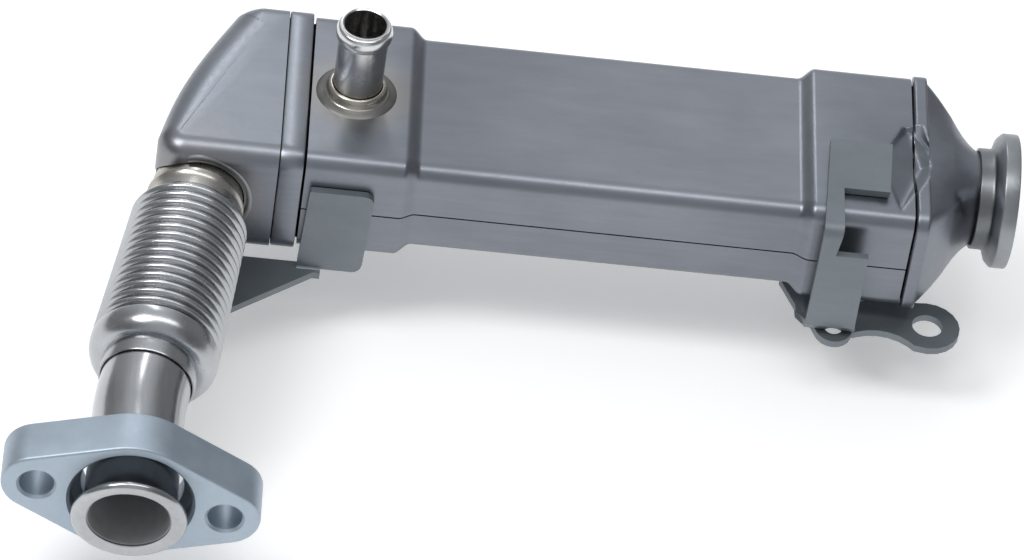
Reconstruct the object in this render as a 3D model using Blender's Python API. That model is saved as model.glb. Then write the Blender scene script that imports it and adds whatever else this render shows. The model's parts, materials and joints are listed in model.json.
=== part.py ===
# Exhaust gas recirculation cooler: a brazed stainless core with pressed ends, a bellows inlet pipe
# with a loose two-bolt flange, a V-band outlet, coolant spigots and two mounting brackets.
#
# Frame: metres. +X runs along the core towards the outlet, +Y is the back, +Z is up.
# The origin is the centre of the outlet's clamp face, on the core's own axis.
import math

import bmesh
import bpy
from mathutils import Matrix, Vector

# Sheet, joints and clearances
SHEET = 0.0012
GAP = 0.0003
JOINT_LAP = 0.0036
CUT_MARGIN = 0.0010

# Core casing
CORE_WIDTH = 0.0656
CORE_HEIGHT = 0.0334
CORE_LENGTH = 0.1180
TANK_RISE = 0.0025
INLET_TANK_LENGTH = 0.0310
OUTLET_TANK_LENGTH = 0.0314
RAMP_LENGTH = 0.0053
CASING_RADIUS = 0.0055
SMALLEST_RADIUS = 0.0012
SEAM_DROP = 0.0010
SEAM_LAP = 0.0050
SEAM_STEP = 0.0042

# Gas tubes inside the core, sized by the room that the casing leaves
TUBE_ROWS = 4
TUBE_COLUMNS = 2
GAS_TUBE_SIDE = 0.0051
GAS_TUBE_TOP = 0.0039
GAS_TUBE_WALL = 0.0005
GAS_TUBE_SPACE = 0.0024
GAS_TUBE_REACH = 0.0010
COMB_THICKNESS = 0.0010
PLATE_THICKNESS = 0.0015

# Rims of the tube plates, seen between the casing and its two ends
INLET_RIM = 0.0074
INLET_RIM_RISE = 0.0012
OUTLET_RIM = 0.0042
OUTLET_RIM_RISE = 0.0009

# Inlet header, a pressed elbow
HEADER_REACH = 0.0380
HEADER_BACK_FLAT = 0.0085
HEADER_TURN = 0.0120
HEADER_TURN_DEPTH = 0.0100
HEADER_BOW = 0.0032
HEADER_CORNER = 0.0088
HEADER_DROP = 0.0004
HEADER_SOFTNESS = 1.5
HEADER_LIP_RADIUS = 0.0172
HEADER_LIP_WIDTH = 0.0015
HEADER_LIP_HEIGHT = 0.0006
HEADER_LIP_ROOT = 0.0020

# Inlet pipe: stub, bellows and plain pipe
STUB_OFFSET = 0.0316
PIPE_RADIUS = 0.0139
PIPE_WALL = 0.0012
STUB_STEP = 0.0005
STUB_LENGTH = 0.0125
STUB_REACH = 0.0022
STUB_RING = 0.0010
STUB_RING_START = 0.0027
STUB_RING_LENGTH = 0.0018
BELLOWS_START = 0.0095
BELLOWS_CUFF = 0.0025
BELLOWS_PITCH = 0.00362
BELLOWS_COUNT = 16
BELLOWS_DEPTH = 0.0046
BELLOWS_FLARE = 0.0016
BELLOWS_WALL = 0.0006
BELLOWS_SHOULDER = 0.0004
BELLOWS_TAPER = 0.0068
BELLOWS_NECK = 0.0056
PIPE_YAW = math.radians(7.3)
PIPE_TILT = math.radians(3.0)
END_TILT = math.radians(7.8)
PIPE_BEND_START = 0.0875
PIPE_BEND_LENGTH = 0.0100
PIPE_END_LENGTH = 0.0378
LIP_RADIUS = 0.0174
LIP_THICKNESS = 0.0034

# Loose flange on the inlet pipe
FLANGE_THICKNESS = 0.0155
FLANGE_PITCH = 0.0568
FLANGE_TIP_RADIUS = 0.0108
FLANGE_BOSS_RADIUS = 0.0220
FLANGE_HOLE = 0.0104
FLANGE_CHAMFER = 0.0009
FLANGE_BORE_PLAY = 0.0015
FLANGE_SEAT_RADIUS = 0.0183
FLANGE_SEAT_DEPTH = 0.0065
FLANGE_SEAT_SLOPE = 0.0016
FLANGE_ROLL = math.radians(-6.6)
FLANGE_BEFORE_LIP = 0.0066
FLANGE_LIFT = 0.0006

# Coolant spigots
SPIGOT_RADIUS = 0.00775
SPIGOT_WALL = 0.0011
SPIGOT_LENGTH = 0.0285
SPIGOT_REACH = 0.0024
SPIGOT_BEAD = 0.0011
SPIGOT_BEAD_DROP = 0.0050
SPIGOT_COLLAR = 0.0018
SPIGOT_COLLAR_HEIGHT = 0.0040
INLET_SPIGOT_X = 0.0155
INLET_SPIGOT_Y = -0.0016
OUTLET_SPIGOT_X = 0.0155
OUTLET_SPIGOT_Y = 0.0130

# Outlet diffuser and its clamp flange
DIFFUSER_LENGTH = 0.0170
DIFFUSER_WALL = 0.0015
NECK_RADIUS = 0.0146
NECK_LENGTH = 0.0048
CLAMP_RADIUS = 0.0213
CLAMP_RIM = 0.0062
CLAMP_CONE = 0.0010
CLAMP_CONE_DROP = 0.0016
CLAMP_HUB = 0.0046
CLAMP_WALL = 0.0011
CLAMP_EDGE = 0.0004

# Pressed pocket across the outlet corner, as shares of its length and width
POCKET_LENGTH = 0.0155
POCKET_WIDTH = 0.0370
POCKET_DEPTH = 0.0042
POCKET_DRAFT = 0.50
POCKET_Y = -0.0110
POCKET_OUTLINE = ((-0.13, 0.36), (0.34, 0.50), (0.58, 0.46), (1.00, 0.00), (0.22, -0.50), (-0.13, -0.30))
POCKET_HEART = (0.40, 0.0)

# Brackets
BRACKET_SHEET = 0.0025
BRACKET_CORNER = 0.0030
FOOT_LEVEL = 0.0233
EAR_RADIUS = 0.0103
SMALL_EAR_RADIUS = 0.0069
BOLT_HOLE = 0.0098
THREAD_HOLE = 0.0068
LEFT_PLATE_WIDTH = 0.0215
LEFT_PLATE_START = 0.0015
LEFT_PLATE_TOP = 0.0105
LEFT_PLATE_LEAN = 0.0014
LEFT_BEND_WIDTH = 0.0075
LEFT_BEND = 0.0022
LEFT_ARM_X = 0.0290
LEFT_ARM_Y = 0.0200
LEFT_ARM_ROOT = 0.0150
RIGHT_STAND_OFF = 0.0080
RIGHT_PLATE_START = -0.0010
RIGHT_PLATE_WIDTH = 0.0184
RIGHT_PLATE_SLANT = 0.0050
RIGHT_STRAP_WIDTH = 0.0086
RIGHT_PLATE_TOP = 0.0080
RIGHT_TOP_BEND = 0.0035
RIGHT_FOOT_BEND = 0.0090
RIGHT_TOP_REACH = 0.0320
RIGHT_NOTCH_REACH = 0.0095
RIGHT_EAR_X = 0.0420
RIGHT_EAR_Y = 0.0098
RIGHT_ARM_FRONT = 0.0060
RIGHT_ARM_BACK = 0.0060
SCOOP_RADIUS = 0.0155
SCOOP_X = 0.0262
SCOOP_Y = 0.0054
SMALL_EAR_X = 0.0112
SMALL_EAR_Y = 0.0052
TAIL_X = -0.0047
TAIL_Y = 0.0143
TAIL_WIDTH = 0.0138

# Stations along X, worked back from the clamp face at the origin
X_NECK_END = -(CLAMP_RIM + CLAMP_CONE)
X_DIFFUSER_END = X_NECK_END - NECK_LENGTH
X_DIFFUSER = X_DIFFUSER_END - DIFFUSER_LENGTH
X_CASE_END = X_DIFFUSER - OUTLET_RIM
CASE_LENGTH = INLET_TANK_LENGTH + CORE_LENGTH + 2 * RAMP_LENGTH + OUTLET_TANK_LENGTH
X_CASE = X_CASE_END - CASE_LENGTH
X_HEADER = X_CASE - INLET_RIM

TANK_WIDTH = CORE_WIDTH + 2 * TANK_RISE
TANK_HEIGHT = CORE_HEIGHT + 2 * TANK_RISE
FRONT = -TANK_WIDTH / 2
HEADER_FRONT = FRONT - INLET_RIM_RISE
FOOT_TOP = -FOOT_LEVEL
STUB_OUTER = PIPE_RADIUS + STUB_STEP
GAS_TUBE_WIDTH = (CORE_WIDTH - 2 * GAS_TUBE_SIDE - (TUBE_COLUMNS - 1) * GAS_TUBE_SPACE) / TUBE_COLUMNS
GAS_TUBE_HEIGHT = (CORE_HEIGHT - 2 * GAS_TUBE_TOP - (TUBE_ROWS - 1) * GAS_TUBE_SPACE) / TUBE_ROWS

SEGMENTS = 20
SEAT_SEGMENTS = 28
HOLE_SEGMENTS = 20

for old in list(bpy.data.objects):
    bpy.data.objects.remove(old)


def steel(name, colour, rough, metal=1.0):
    mat = bpy.data.materials.new(name)
    mat.use_nodes = True
    shader = mat.node_tree.nodes["Principled BSDF"]
    shader.inputs["Base Color"].default_value = (*colour, 1.0)
    shader.inputs["Metallic"].default_value = metal
    shader.inputs["Roughness"].default_value = rough
    return mat


SHELL_STEEL = steel("shell_steel", (0.46, 0.47, 0.49), 0.42)
TUBE_STEEL = steel("tube_steel", (0.56, 0.55, 0.54), 0.28)
FLANGE_STEEL = steel("flange_steel", (0.50, 0.53, 0.57), 0.50)
BRACKET_STEEL = steel("bracket_steel", (0.42, 0.43, 0.45), 0.46)


def finish(name, bm, mat=None, angle=35.0, flat=False):
    """Turn a bmesh into a named object with its faces pointing out; flat splits faces into triangles."""
    bmesh.ops.remove_doubles(bm, verts=bm.verts, dist=1e-7)
    if flat:
        bmesh.ops.triangulate(bm, faces=bm.faces[:])
    bmesh.ops.recalc_face_normals(bm, faces=bm.faces)
    mesh = bpy.data.meshes.new(name)
    bm.to_mesh(mesh)
    bm.free()
    obj = bpy.data.objects.new(name, mesh)
    bpy.context.scene.collection.objects.link(obj)
    if mat is not None:
        mesh.materials.append(mat)
        mesh.shade_smooth()
        mesh.set_sharp_from_angle(angle=math.radians(angle))
    return obj


def closed_line(bm, points):
    """A closed line of vertices and edges, the start of an extrusion or a turned shape."""
    verts = [bm.verts.new(p) for p in points]
    edges = [bm.edges.new(pair) for pair in zip(verts, verts[1:] + verts[:1])]
    return verts, edges


def loft(rings, wrap=False):
    """Extrude a closed line from station to station; the ends are filled, or joined to each other."""
    bm = bmesh.new()
    verts, edges = closed_line(bm, rings[0])
    for points in list(rings[1:]) + ([rings[0]] if wrap else []):
        made = bmesh.ops.extrude_edge_only(bm, edges=edges)["geom"]
        fresh = {item for item in made if isinstance(item, bmesh.types.BMVert)}
        verts = [next(e.other_vert(v) for e in v.link_edges if e.other_vert(v) in fresh) for v in verts]
        for vert, point in zip(verts, points):
            vert.co = point
        edges = [item for item in made
                 if isinstance(item, bmesh.types.BMEdge) and fresh.issuperset(item.verts)]
    if not wrap:
        bmesh.ops.holes_fill(bm, edges=bm.edges, sides=0)
    return bm


def spun(profile, segments, place):
    """A ring-shaped solid: a closed profile of (height, radius) points turned about the Z axis of place."""
    bm = bmesh.new()
    verts, edges = closed_line(bm, [(radius, 0.0, height) for height, radius in profile])
    bmesh.ops.spin(bm, geom=verts + edges, cent=(0, 0, 0), axis=(0, 0, 1), angle=2 * math.pi,
                   steps=segments, use_merge=True)
    bmesh.ops.transform(bm, matrix=place, verts=bm.verts)
    return bm


def cylinder(radius, low, high, place, segments=SEGMENTS):
    """A solid cylinder along the Z axis of place."""
    bm = bmesh.new()
    middle = place @ Matrix.Translation((0, 0, (low + high) / 2))
    bmesh.ops.create_cone(bm, cap_ends=True, segments=segments, radius1=radius, radius2=radius,
                          depth=high - low, matrix=middle)
    return finish("cylinder", bm)


def box(low, high):
    """A solid box between two corners."""
    low, high = Vector(low), Vector(high)
    bm = bmesh.new()
    middle = Matrix.Translation((low + high) / 2) @ Matrix.Diagonal((*(high - low), 1.0))
    bmesh.ops.create_cube(bm, size=1.0, matrix=middle)
    return finish("box", bm)


def combine(target, others, operation):
    """Cut, join or intersect the target with each of the other solids, which are then removed."""
    for other in others:
        mod = target.modifiers.new("combine", "BOOLEAN")
        mod.operation = operation
        mod.solver = "EXACT"
        mod.object = other
    graph = bpy.context.evaluated_depsgraph_get()
    solid = bpy.data.meshes.new_from_object(target.evaluated_get(graph))
    solid.name = target.name
    target.modifiers.clear()
    target.data = solid
    for other in others:
        bpy.data.objects.remove(other)
    return target


def cut(target, *others):
    return combine(target, others, "DIFFERENCE")


def join(target, *others):
    return combine(target, others, "UNION")


def circle(radius, place, height=0.0, count=SEGMENTS):
    """Points of a circle about the Z axis of place."""
    return [place @ Vector((radius * math.cos(2 * math.pi * i / count),
                            radius * math.sin(2 * math.pi * i / count), height)) for i in range(count)]


def frame_at(origin, direction, up=Vector((0, 0, 1))):
    """A matrix whose Z axis is the given direction."""
    z = Vector(direction).normalized()
    x = up.cross(z)
    if x.length < 1e-6:
        x = Vector((1, 0, 0))
    x.normalize()
    turn = Matrix((x, z.cross(x), z)).transposed().to_4x4()
    return Matrix.Translation(Vector(origin)) @ turn


def rounded_rect(width, height, radius, arc=4, sides=(4, 2)):
    """Points of a rounded rectangle in Y and Z, anticlockwise seen from +X, starting at mid right."""
    half_w, half_h = width / 2 - radius, height / 2 - radius
    corners = ((half_w, half_h, 0), (-half_w, half_h, 90), (-half_w, -half_h, 180), (half_w, -half_h, 270))
    points = []
    for k, (cy, cz, start) in enumerate(corners):
        for i in range(arc + 1):
            a = math.radians(start + 90 * i / arc)
            points.append((cy + radius * math.cos(a), cz + radius * math.sin(a)))
        after = corners[(k + 1) % 4]
        a = math.radians(start + 90)
        p = points[-1]
        q = (after[0] + radius * math.cos(a), after[1] + radius * math.sin(a))
        steps = sides[k % 2]
        for i in range(1, steps):
            points.append((p[0] + (q[0] - p[0]) * i / steps, p[1] + (q[1] - p[1]) * i / steps))
    return points


def section(x, inset=0.0, rise=TANK_RISE):
    """A ring of the casing outline at one station, moved in by an inset."""
    radius = max(CASING_RADIUS - inset, SMALLEST_RADIUS)
    ring = rounded_rect(CORE_WIDTH + 2 * (rise - inset), CORE_HEIGHT + 2 * (rise - inset), radius)
    return [(x, y, z) for y, z in ring]


# Pocket pressed across the outlet corner of the casing, rim and diffuser
X_POCKET = X_CASE_END - 0.57 * POCKET_LENGTH
POCKET_HEADROOM = 0.006


def pocket(grow):
    """The hollow of the pocket, whose floor falls towards the outlet; grow adds a sheet's thickness."""
    top = TANK_HEIGHT / 2
    slope = POCKET_DEPTH / POCKET_LENGTH
    heart = Vector((X_POCKET + POCKET_HEART[0] * POCKET_LENGTH, POCKET_Y + POCKET_HEART[1] * POCKET_WIDTH))
    floor = []
    rim = []
    for u, v in POCKET_OUTLINE:
        edge = Vector((X_POCKET + u * POCKET_LENGTH, POCKET_Y + v * POCKET_WIDTH))
        out = (edge - heart).normalized()
        depth = slope * max(u, 0.0) * POCKET_LENGTH
        low = edge + out * (grow - POCKET_DRAFT * depth)
        high = edge + out * (grow + POCKET_DRAFT * POCKET_HEADROOM)
        floor.append((low.x, low.y, top - slope * (low.x - X_POCKET) - grow))
        rim.append((high.x, high.y, top + POCKET_HEADROOM))
    return finish("pocket", loft([floor, rim]), flat=True)


# Casing: two pressed shells lapped along a seam on each side
def casing_stations():
    core_start = X_CASE + INLET_TANK_LENGTH
    core_end = X_CASE_END - OUTLET_TANK_LENGTH
    stations = [(X_CASE + GAP, TANK_RISE), (core_start, TANK_RISE)]
    for share, level in ((0.35, 0.85), (0.65, 0.15), (1.0, 0.0)):
        stations.append((core_start + share * RAMP_LENGTH, level * TANK_RISE))
    for share, level in ((1.0, 0.0), (0.65, 0.15), (0.35, 0.85), (0.0, 1.0)):
        stations.append((core_end - share * RAMP_LENGTH, level * TANK_RISE))
    return stations + [(X_CASE_END - GAP, TANK_RISE)]


def u_profile(rise, inset, wall_end, side):
    """Half a casing outline as a U from one wall end to the other; side +1 opens down, -1 opens up."""
    half_w = CORE_WIDTH / 2 + rise - inset
    half_h = CORE_HEIGHT / 2 + rise - inset
    radius = max(CASING_RADIUS - inset, SMALLEST_RADIUS)
    points = [(half_w, wall_end)]
    for i in range(6):
        a = math.radians(90 * i / 5)
        points.append((half_w - radius + radius * math.cos(a),
                       side * (half_h - radius + radius * math.sin(a))))
    return points + [(-y, z) for y, z in reversed(points)]


def upper_solid(inset, spread, drop):
    """The upper half of the casing as a solid, outer or inner."""
    stations = casing_stations()
    stations[0] = (stations[0][0] - spread, stations[0][1])
    stations[-1] = (stations[-1][0] + spread, stations[-1][1])
    return [[(x, y, z) for y, z in u_profile(rise, inset, -SEAM_DROP - drop, 1)] for x, rise in stations]


def lower_ring(x, rise):
    """The lower half of the casing, with a stepped lip that laps inside the upper half."""
    end = -SEAM_DROP - GAP
    outer = u_profile(rise, 0.0, end, -1)
    inner = u_profile(rise, SHEET, end - SEAM_STEP, -1)
    lip_out = CORE_WIDTH / 2 + rise - SHEET - GAP
    lip_in = lip_out - SHEET
    lip = [(lip_out, end), (lip_out, end + SEAM_LAP),
           (lip_in, end + SEAM_LAP), (lip_in, end - 2 * SEAM_STEP / 3)]
    ring = outer + [(-y, z) for y, z in lip] + list(reversed(inner)) + list(reversed(lip))
    return [(x, y, z) for y, z in ring]


upper_shell = finish("upper_shell", loft(upper_solid(0.0, 0.0, 0.0)), SHELL_STEEL)
upper_hollow = finish("hollow", loft(upper_solid(SHEET, CUT_MARGIN, CUT_MARGIN)))
cut(upper_shell, pocket(0.0))
cut(upper_hollow, pocket(SHEET))
cut(upper_shell, upper_hollow)
lower_shell = finish("lower_shell", loft([lower_ring(x, rise) for x, rise in casing_stations()]), SHELL_STEEL)
lip_reach = TANK_WIDTH / 2 - SHEET - 0.5 * GAP
for x_end, sign in ((X_CASE, 1), (X_CASE_END, -1)):
    near, far = sorted((x_end - sign * CUT_MARGIN, x_end + sign * (JOINT_LAP + GAP)))
    cut(lower_shell, box((near, -lip_reach, -SEAM_DROP - SEAM_STEP - CUT_MARGIN),
                         (far, lip_reach, SEAM_LAP + 2 * CUT_MARGIN)))


# Tube plates: each has a rim that shows between the casing and the end piece
def tube_plate(name, x_face, rim, proud, out):
    """A plate with a lip inside the casing and a visible rim; the inlet rim has a lip for the header."""
    step = SHEET + GAP
    rings = [
        section(x_face - out * JOINT_LAP, step),
        section(x_face, step),
        section(x_face, -proud),
        section(x_face + out * rim, -proud),
    ]
    reach = rim
    wall = SHEET - proud
    if out < 0:
        reach = rim + JOINT_LAP
        wall = step + SHEET - proud
        rings += [section(x_face + out * rim, step - proud), section(x_face + out * reach, step - proud)]
    plate = finish(name, loft(rings), SHELL_STEEL)
    gas_side = finish("hollow", loft([section(x_face + out * PLATE_THICKNESS, wall),
                                      section(x_face + out * (reach + CUT_MARGIN), wall)]))
    water_side = finish("hollow", loft([section(x_face - out * (JOINT_LAP + CUT_MARGIN), step + SHEET),
                                        section(x_face, step + SHEET)]))
    if out > 0:
        # The lip is left out under the pocket, where the casing is pressed in
        clear = POCKET_WIDTH / 2 + step
        cut(plate, box((x_face - JOINT_LAP - CUT_MARGIN, POCKET_Y - clear,
                        TANK_HEIGHT / 2 - POCKET_DEPTH - 2 * SHEET),
                       (x_face - 0.6 * GAP, POCKET_Y + clear, TANK_HEIGHT / 2)))
        cut(plate, pocket(0.0))
        cut(gas_side, pocket(SHEET))
    return cut(plate, gas_side, water_side)


def flat_tube(x0, x1, cy, cz, grow=0.0):
    """Rings of one flat-sided gas tube with round edges."""
    height = GAS_TUBE_HEIGHT + 2 * grow
    ring = rounded_rect(GAS_TUBE_WIDTH + 2 * grow, height, 0.498 * height, arc=2, sides=(1, 1))
    return [[(x, cy + y, cz + z) for y, z in ring] for x in (x0, x1)]


def tube_places():
    """Centres of the gas tubes, row by row."""
    for row in range(TUBE_ROWS):
        for column in range(TUBE_COLUMNS):
            yield ((column - (TUBE_COLUMNS - 1) / 2) * (GAS_TUBE_WIDTH + GAS_TUBE_SPACE),
                   (row - (TUBE_ROWS - 1) / 2) * (GAS_TUBE_HEIGHT + GAS_TUBE_SPACE))


def cut_tube_slots(plate, x):
    """Cut a slot for every gas tube through a plate near station x."""
    reach = 2 * PLATE_THICKNESS
    for cy, cz in tube_places():
        cut(plate, finish("slot", loft(flat_tube(x - reach, x + reach, cy, cz, GAP))))


inlet_plate = tube_plate("inlet_tube_plate", X_CASE, INLET_RIM, INLET_RIM_RISE, -1)
outlet_plate = tube_plate("outlet_tube_plate", X_CASE_END, OUTLET_RIM, OUTLET_RIM_RISE, 1)
cut_tube_slots(inlet_plate, X_CASE)
cut_tube_slots(outlet_plate, X_CASE_END)

X_TUBES = X_CASE - PLATE_THICKNESS - GAS_TUBE_REACH
X_TUBES_END = X_CASE_END + PLATE_THICKNESS + GAS_TUBE_REACH
for n, (cy, cz) in enumerate(tube_places(), start=1):
    outer = flat_tube(X_TUBES, X_TUBES_END, cy, cz)
    inner = flat_tube(X_TUBES, X_TUBES_END, cy, cz, -GAS_TUBE_WALL)
    finish("gas_tube_%d" % n, loft([outer[0], outer[1], inner[1], inner[0]], wrap=True), TUBE_STEEL)

# Combs hold the gas tubes apart and steer the coolant across them; one side of each is open
comb_inset = 2 * (SHEET + GAP)
for n, (share, side) in enumerate(((0.30, 1), (0.70, -1)), start=1):
    x_comb = X_CASE + share * CASE_LENGTH
    rings = [section(x, comb_inset, 0.0) for x in (x_comb - COMB_THICKNESS / 2, x_comb + COMB_THICKNESS / 2)]
    comb = finish("tube_comb_%d" % n, loft(rings), SHELL_STEEL)
    cut_tube_slots(comb, x_comb)
    window = GAS_TUBE_HEIGHT + GAS_TUBE_SPACE
    near, far = sorted((side * (CORE_WIDTH / 2 - GAS_TUBE_SIDE + GAP), side * CORE_WIDTH / 2))
    cut(comb, box((x_comb - COMB_THICKNESS, near, -window), (x_comb + COMB_THICKNESS, far, window)))


# Inlet header: an elbow pressed from one sheet, turning the gas from the pipe into the core
def header_outline():
    """Plan of the header from the mouth at the back, round the sloping end, to the mouth at the front.

    Each point is (x, y, softness); softness widens the rounding of the top and bottom edges there."""
    back = -HEADER_FRONT
    flat = X_HEADER - HEADER_BACK_FLAT
    far = X_HEADER - HEADER_REACH
    points = [(X_HEADER, back, 1.0), (flat, back, 1.0)]
    for i in range(1, 5):
        t = i / 5
        points.append((flat - HEADER_TURN * math.sin(t * math.pi / 3.2),
                       back - HEADER_TURN_DEPTH * (1 - math.cos(t * math.pi / 2.6)),
                       1.0 + (HEADER_SOFTNESS - 1.0) * t))
    start = points[-1]
    end = (far, HEADER_FRONT + HEADER_CORNER)
    for i in range(1, 6):
        t = i / 5
        bow = HEADER_BOW * math.sin(t * math.pi)
        points.append((start[0] + (end[0] - start[0]) * t - bow,
                       start[1] + (end[1] - start[1]) * t - 0.4 * bow,
                       HEADER_SOFTNESS - (HEADER_SOFTNESS - 1.0) * t ** 2))
    for i in range(1, 5):
        a = math.radians(180 + 90 * i / 4)
        points.append((far + HEADER_CORNER * (1 + math.cos(a)),
                       HEADER_FRONT + HEADER_CORNER * (1 + math.sin(a)), 1.0))
    points.append((X_HEADER, HEADER_FRONT, 1.0))
    return points


def inset_line(points, inset, extra):
    """Move an open outline in, by the inset and the softened extra, with its two ends on the mouth plane."""
    moved = []
    last = len(points) - 1
    for i, (x, y, softness) in enumerate(points):
        here = Vector((x, y))
        a = Vector(points[max(i - 1, 0)][:2])
        b = Vector(points[min(i + 1, last)][:2])
        before = (here - a).normalized() if i else (b - here).normalized()
        after = (b - here).normalized() if i < last else before
        n1 = Vector((-before.y, before.x))
        n2 = Vector((-after.y, after.x))
        normal = (n1 + n2).normalized()
        moved.append(here + normal * (inset + softness * extra) / max(normal.dot(n1), 0.5))
    moved[0].x = points[0][0]
    moved[-1].x = points[-1][0]
    return moved


def header_solid(inset, mouth_extra, steps=4):
    """The header's outer or inner form: level outlines stacked with rounded top and bottom edges."""
    outline = header_outline()
    top = TANK_HEIGHT / 2 + INLET_RIM_RISE - inset
    low = -TANK_HEIGHT / 2 - INLET_RIM_RISE - HEADER_DROP + inset
    radius = CASING_RADIUS + INLET_RIM_RISE - inset
    curve = [(radius * (1 - math.sin(math.radians(90 * i / steps))),
              radius * (1 - math.cos(math.radians(90 * i / steps)))) for i in range(steps + 1)]
    levels = [(top - drop, extra) for drop, extra in reversed(curve)]
    levels += [(low + drop, extra) for drop, extra in curve]
    solid = []
    for z, extra in levels:
        ring = [Vector((p.x, p.y, z)) for p in inset_line(outline, inset, extra)]
        ring[0].x += mouth_extra
        ring[-1].x += mouth_extra
        solid.append(ring)
    return solid


header = finish("inlet_header", loft(header_solid(0.0, -GAP)), SHELL_STEEL)
cut(header, finish("hollow", loft(header_solid(SHEET, 2 * CUT_MARGIN))))

# Pipe line from the header's front face
pipe_start = Vector((X_HEADER - (STUB_OFFSET - INLET_RIM), FRONT, 0.0))
pipe_way = Vector((-math.sin(PIPE_YAW) * math.cos(PIPE_TILT),
                   -math.cos(PIPE_YAW) * math.cos(PIPE_TILT),
                   -math.sin(PIPE_TILT)))
end_way = Vector((0.0, -math.cos(END_TILT), -math.sin(END_TILT)))
pipe_frame = frame_at(pipe_start, pipe_way)

# A raised lip is pressed in the header's front face, round the pipe's hole
lip_frame = frame_at((pipe_start.x, HEADER_FRONT, 0.0), (0, -1, 0))
lip_ring = (
    (-HEADER_LIP_ROOT, HEADER_LIP_RADIUS - HEADER_LIP_WIDTH),
    (HEADER_LIP_HEIGHT, HEADER_LIP_RADIUS - HEADER_LIP_WIDTH),
    (HEADER_LIP_HEIGHT, HEADER_LIP_RADIUS - 0.4 * HEADER_LIP_WIDTH),
    (0.4 * HEADER_LIP_HEIGHT, HEADER_LIP_RADIUS),
    (-HEADER_LIP_ROOT, HEADER_LIP_RADIUS),
)
lip = finish("lip", spun(lip_ring, SEAT_SEGMENTS, lip_frame))
lip_edge = X_HEADER - HEADER_REACH + 0.5 * HEADER_CORNER
cut(lip, box((lip_edge - HEADER_REACH, 2 * FRONT, -TANK_HEIGHT), (lip_edge, 0.0, TANK_HEIGHT)))
join(header, lip)
cut(header, cylinder(STUB_OUTER + GAP, -PIPE_RADIUS / 2, PIPE_RADIUS / 2, pipe_frame))

ring_end = STUB_RING_START + STUB_RING_LENGTH
stub_profile = (
    (-STUB_REACH, STUB_OUTER - PIPE_WALL),
    (STUB_LENGTH, STUB_OUTER - PIPE_WALL),
    (STUB_LENGTH, STUB_OUTER),
    (ring_end + STUB_RING, STUB_OUTER),
    (ring_end, STUB_OUTER + STUB_RING),
    (STUB_RING_START, STUB_OUTER + STUB_RING),
    (STUB_RING_START, STUB_OUTER),
    (-STUB_REACH, STUB_OUTER),
)
finish("inlet_stub", spun(stub_profile, SEGMENTS, pipe_frame), TUBE_STEEL)


# Bellows: one thin corrugated sheet between the stub and the pipe
def bellows_profile():
    """The closed outline of the sheet: round waves outside, the same waves inside, and a domed end."""
    root = STUB_OUTER + GAP + BELLOWS_WALL
    neck = PIPE_RADIUS + GAP + BELLOWS_WALL
    outer = [(BELLOWS_START, root)]
    inner = [(BELLOWS_START, root - BELLOWS_WALL)]
    for k in range(BELLOWS_COUNT):
        base = BELLOWS_START + BELLOWS_CUFF + k * BELLOWS_PITCH
        depth = BELLOWS_DEPTH - BELLOWS_FLARE * (1 - k / (BELLOWS_COUNT - 1))
        for share, level in ((0.0, 0.0), (0.32, 1.0), (0.68, 1.0)):
            outer.append((base + share * BELLOWS_PITCH, root + level * depth))
        for share, level in ((0.0, 0.0), (0.5, 1.0)):
            inner.append((base + share * BELLOWS_PITCH, root + level * depth - BELLOWS_WALL))
    crest_at, crest = outer[-1]
    dome = crest_at + BELLOWS_SHOULDER
    for line, wall in ((outer, 0.0), (inner, BELLOWS_WALL)):
        for step in range(4):
            a = math.radians(90 * step / 3)
            line.append((dome + BELLOWS_TAPER * math.sin(a), neck + (crest - neck) * math.cos(a) - wall))
        line.append((dome + BELLOWS_TAPER + BELLOWS_NECK, neck - wall))
    return outer + list(reversed(inner)), outer[-1][0]


bellows_line, bellows_end = bellows_profile()
finish("bellows", spun(bellows_line, SEGMENTS, pipe_frame), TUBE_STEEL)

# Plain pipe with a slight bend and an upset lip at its mouth
path = [(pipe_start + pipe_way * (bellows_end - BELLOWS_NECK - CUT_MARGIN), pipe_way, PIPE_RADIUS),
        (pipe_start + pipe_way * PIPE_BEND_START, pipe_way, PIPE_RADIUS)]
BEND_STEPS = 4
for i in range(1, BEND_STEPS + 1):
    way = pipe_way.lerp(end_way, i / BEND_STEPS).normalized()
    path.append((path[-1][0] + way * PIPE_BEND_LENGTH / BEND_STEPS, way, PIPE_RADIUS))
pipe_end = path[-1][0] + end_way * PIPE_END_LENGTH
for back, swell in ((1.15, 0.0), (1.0, 0.55), (0.78, 0.9), (0.5, 1.0), (0.22, 0.92), (0.0, 0.55)):
    path.append((pipe_end - end_way * back * LIP_THICKNESS, end_way,
                 PIPE_RADIUS + swell * (LIP_RADIUS - PIPE_RADIUS)))
outer_rings = [circle(radius, frame_at(point, way)) for point, way, radius in path]
bore_path = reversed(path[:-5] + path[-1:])
bore_rings = [circle(PIPE_RADIUS - PIPE_WALL, frame_at(point, way)) for point, way, radius in bore_path]
finish("inlet_pipe", loft(outer_rings + bore_rings, wrap=True), TUBE_STEEL)

# Loose flange: its face is square to Y, and it lies a few degrees out of line with the pipe
face_point = pipe_end - end_way * FLANGE_BEFORE_LIP
mid_point = face_point - end_way * FLANGE_THICKNESS / 2
flange_centre = Vector((face_point.x, face_point.y, mid_point.z + FLANGE_LIFT))
flange_frame = (Matrix.Translation(flange_centre)
                @ Matrix.Rotation(math.radians(90), 4, "X")
                @ Matrix.Rotation(FLANGE_ROLL, 4, "Z"))


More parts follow.
